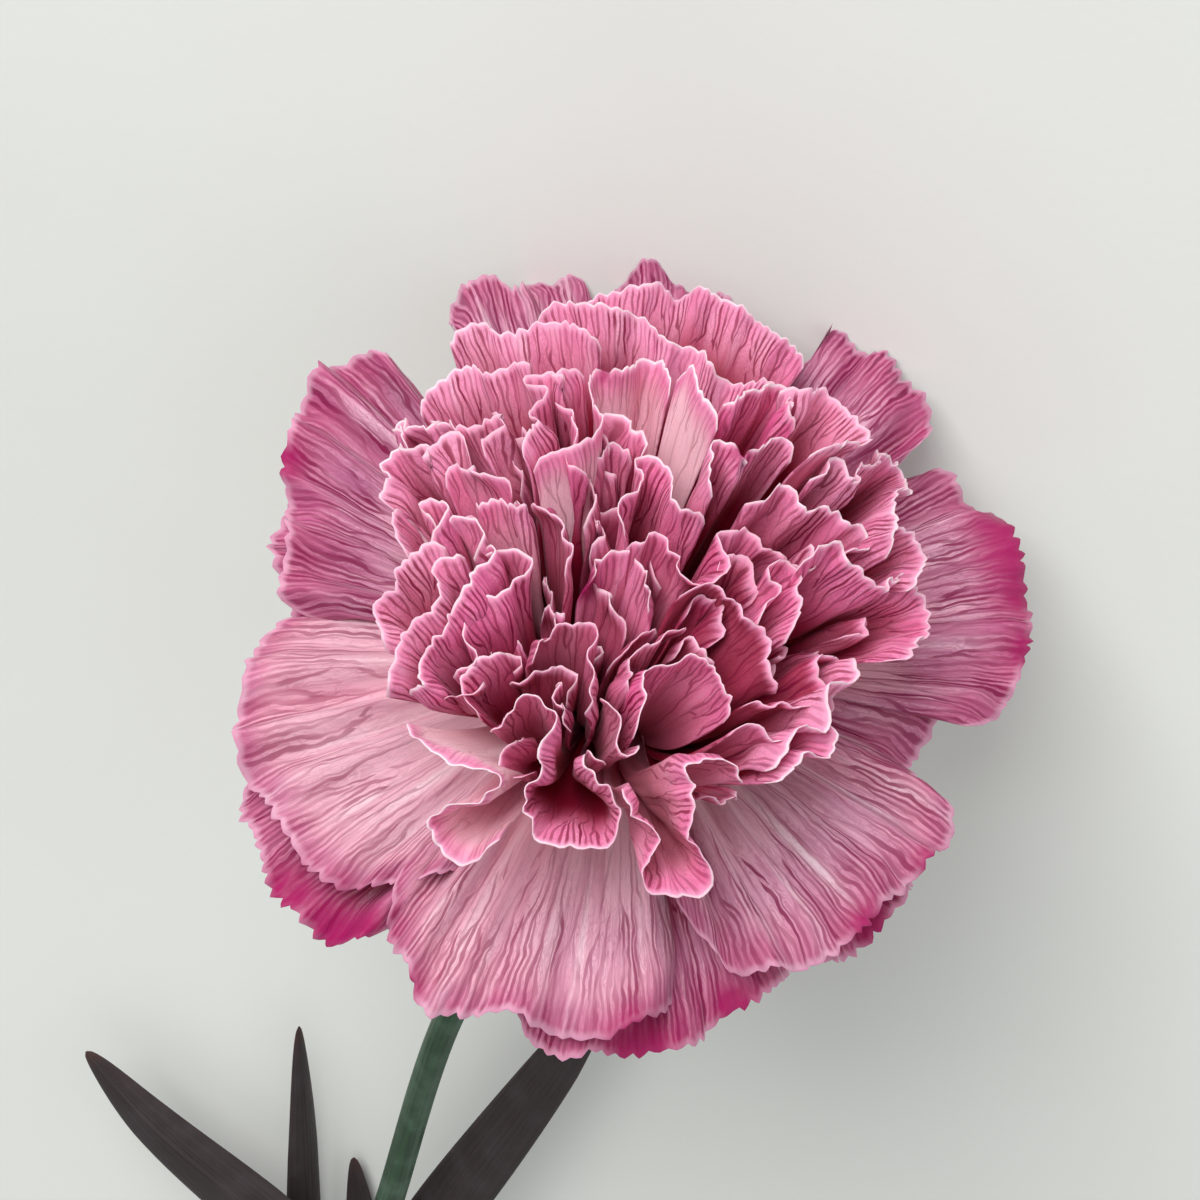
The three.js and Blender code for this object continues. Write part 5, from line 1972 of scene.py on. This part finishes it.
@dataclass
class Studio:
    """Camera at the drawing eye, soft lights, pale floor."""

    space: FlowerSpace
    lens: float = 96.0
    aim_right: float = -0.3
    aim_up: float = 10.0
    lamps: tuple[Lamp, ...] = (
        Lamp("key", (-0.35, 0.5, 1.0), 2.0, 1.5, 38.0, "#fffefc"),
        Lamp("fill", (1.0, -0.3, 0.6), 1.2, 0.9, 1.6, "#f6f8ff"))
    floor_half: float = 3.0
    floor_steps: int = 25
    world_colour: str = "#e2e3e2"
    world_strength: float = 0.62

    def camera(self) -> None:
        """Camera with the sheet's eye, looking at the middle of the picture."""
        space = self.space
        eye = space.mouth + space.sight * space.eye_distance
        target = space.mouth + space.right * self.aim_right + space.up * self.aim_up
        away = Vector(eye - target).normalized()
        right = Vector(space.up).cross(away).normalized()
        turned = Matrix((right, away.cross(right), away)).transposed().to_4x4()
        data = bpy.data.cameras.new("camera")
        data.lens = self.lens
        data.clip_start = 0.01
        camera = bpy.data.objects.new("camera", data)
        camera.matrix_world = Matrix.Translation(space.place(eye)) @ turned
        bpy.context.scene.collection.objects.link(camera)
        bpy.context.scene.camera = camera

    def floor(self, finish: PaperFinish) -> None:
        """Wide pale floor that the flower lies on.

        Args:
            finish: finish of the floor.
        """
        steps = np.linspace(-self.floor_half, self.floor_half, self.floor_steps)
        x, y = np.meshgrid(steps, steps)
        points = np.stack([x, y, 0 * x], -1).reshape(-1, 3)
        grid = np.arange(x.size).reshape(x.shape)
        corners = (grid[:-1, :-1], grid[:-1, 1:], grid[1:, 1:], grid[1:, :-1])
        quads = np.stack([c.ravel() for c in corners], -1)
        mesh = make_mesh("floor", points, quads)
        mesh.materials.append(finish.material())
        floor = bpy.data.objects.new("floor", mesh)
        bpy.context.scene.collection.objects.link(floor)

    def light(self, lamp: Lamp) -> None:
        """Hang a lamp that looks at the head.

        Args:
            lamp: the lamp.
        """
        space = self.space
        data = bpy.data.lights.new(lamp.name, "AREA")
        data.size = lamp.size
        data.energy = lamp.watts
        data.color = colour(lamp.tone)[:3]
        light = bpy.data.objects.new(lamp.name, data)
        right, up, sight = lamp.way
        way = Vector(space.right * right + space.up * up + space.sight * sight).normalized()
        turned = way.to_track_quat("Z", "Y").to_matrix().to_4x4()
        head = Vector(space.place(space.mouth))
        light.matrix_world = Matrix.Translation(head + way * lamp.distance) @ turned
        bpy.context.scene.collection.objects.link(light)

    def world(self) -> None:
        """Even pale surroundings."""
        world = bpy.data.worlds.new("surroundings")
        world.use_nodes = True
        sky = world.node_tree.nodes["Background"]
        sky.inputs["Color"].default_value = colour(self.world_colour)
        sky.inputs["Strength"].default_value = self.world_strength
        bpy.context.scene.world = world

    def build(self, finish: PaperFinish) -> None:
        """Set the floor, the surroundings and the lights.

        Args:
            finish: finish of the floor.
        """
        self.floor(finish)
        self.world()
        for lamp in self.lamps:
            self.light(lamp)
        view = bpy.context.scene.view_settings
        view.view_transform = "Standard"
        view.look = "None"


# ---- the flower ----------------------------------------------------------------------

# the crown's deep colour, #90042e, is painted shade in its hollows
CROWN_FINISH = PetalFinish("crown_petal", "#f26ea6", "#fcb0ce", "#90042e", "#cc5896", "#7c0438",
                           "#fddce8")
GUARD_FINISH = PetalFinish("guard_petal", "#bc648a", "#f2bed2", "#ecb8bc", "#b070a4", "#80104a",
                           "#e898bc", vein_strength=1.0, vein_spacing=5.6, vein_drift=1.4,
                           vein_width=0.25, vein_reach=26.0, forks=(25.0, 16.0, 9.0), wobble=0.35,
                           net_strength=0.3, net_scale=(0.7, 0.1, 0.0), rim_width=0.22,
                           deep_tone_start=8.0, deep_tone_end=26.0, flush="#c24a80", flush_strength=0.55,
                           flush_depth=8.0, streak_and_sheen_strength=0.75, roughness=0.42, painted_sheen_strength=1.0)
CALYX_FINISH = GreenFinish("calyx_green", "#5f7f4e", "#3f5f38", "#93a88c", "#8a4a6c", (1.6, 0.12, 1.0))
STEM_FINISH = GreenFinish("stem_green", "#2a4a30", "#182e20", "#6f8a78", "#c9d6a8", (2.2, 0.06, 1.0),
                          roughness=0.36)
LEAF_FINISH = GreenFinish("leaf_plum", "#352b2c", "#282022", "#4a4448", "#4d352e", (2.6, 0.05, 1.0),
                          roughness=0.58)
FLOOR_FINISH = PaperFinish("pale_paper", "#edf0ec", "#ebede9")


def main() -> None:
    """Build the scene."""
    logging.basicConfig(level=logging.INFO, format="%(message)s")
    space = FlowerSpace()
    LOG.info("packed model is moved by %s mm", np.round(space.shift, 3))
    studio = Studio(space)
    studio.camera()
    studio.build(FLOOR_FINISH)
    guards = PetalWhorl(space, GUARD_FINISH, "guard_petals", "guard_petal", GUARD_PETALS, 100,
                        tooth_height=0.7, tooth_gap=(1.0, 2.2), corner=2.0, wave=(9.0, 16.0),
                        wave_height=1.1, crinkle_height=0.18, pleat=(5.0, 9.0), pleat_height=0.85,
                        curl=1.1, curl_depth=5.0)
    crown = PetalWhorl(space, CROWN_FINISH, "crown_petals", "crown_petal", CROWN_PETALS, 300,
                       lean=CROWN_LEAN)
    folds = PetalWhorl(space, CROWN_FINISH, "crown_petals", "inner_fold", INNER_FOLDS, 500,
                       replaces=False, lean=CROWN_LEAN, wave_height=0.85, crinkle_height=0.3)
    guard_rims = guards.rims()
    guards.build(guard_rims)
    crown_rims, fold_rims = crown.rims(), folds.rims()
    crown.build(crown_rims)
    drawn = [*crown_rims.values(), *fold_rims.values()]
    folds.build({**fold_rims, **FoldScatter(space, CROWN_LEAN).rims(drawn)})
    middle = PetalWhorl(space, CROWN_FINISH, "crown_petals", "middle_petal", (), 700, replaces=False)
    middle.build(MiddleScatter(space, 0.0).rims([*drawn, *guard_rims.values()]))
    Calyx(space).build(CALYX_FINISH)
    Stalk(space).build(STEM_FINISH, LEAF_FINISH)


if __name__ == "__main__":
    main()
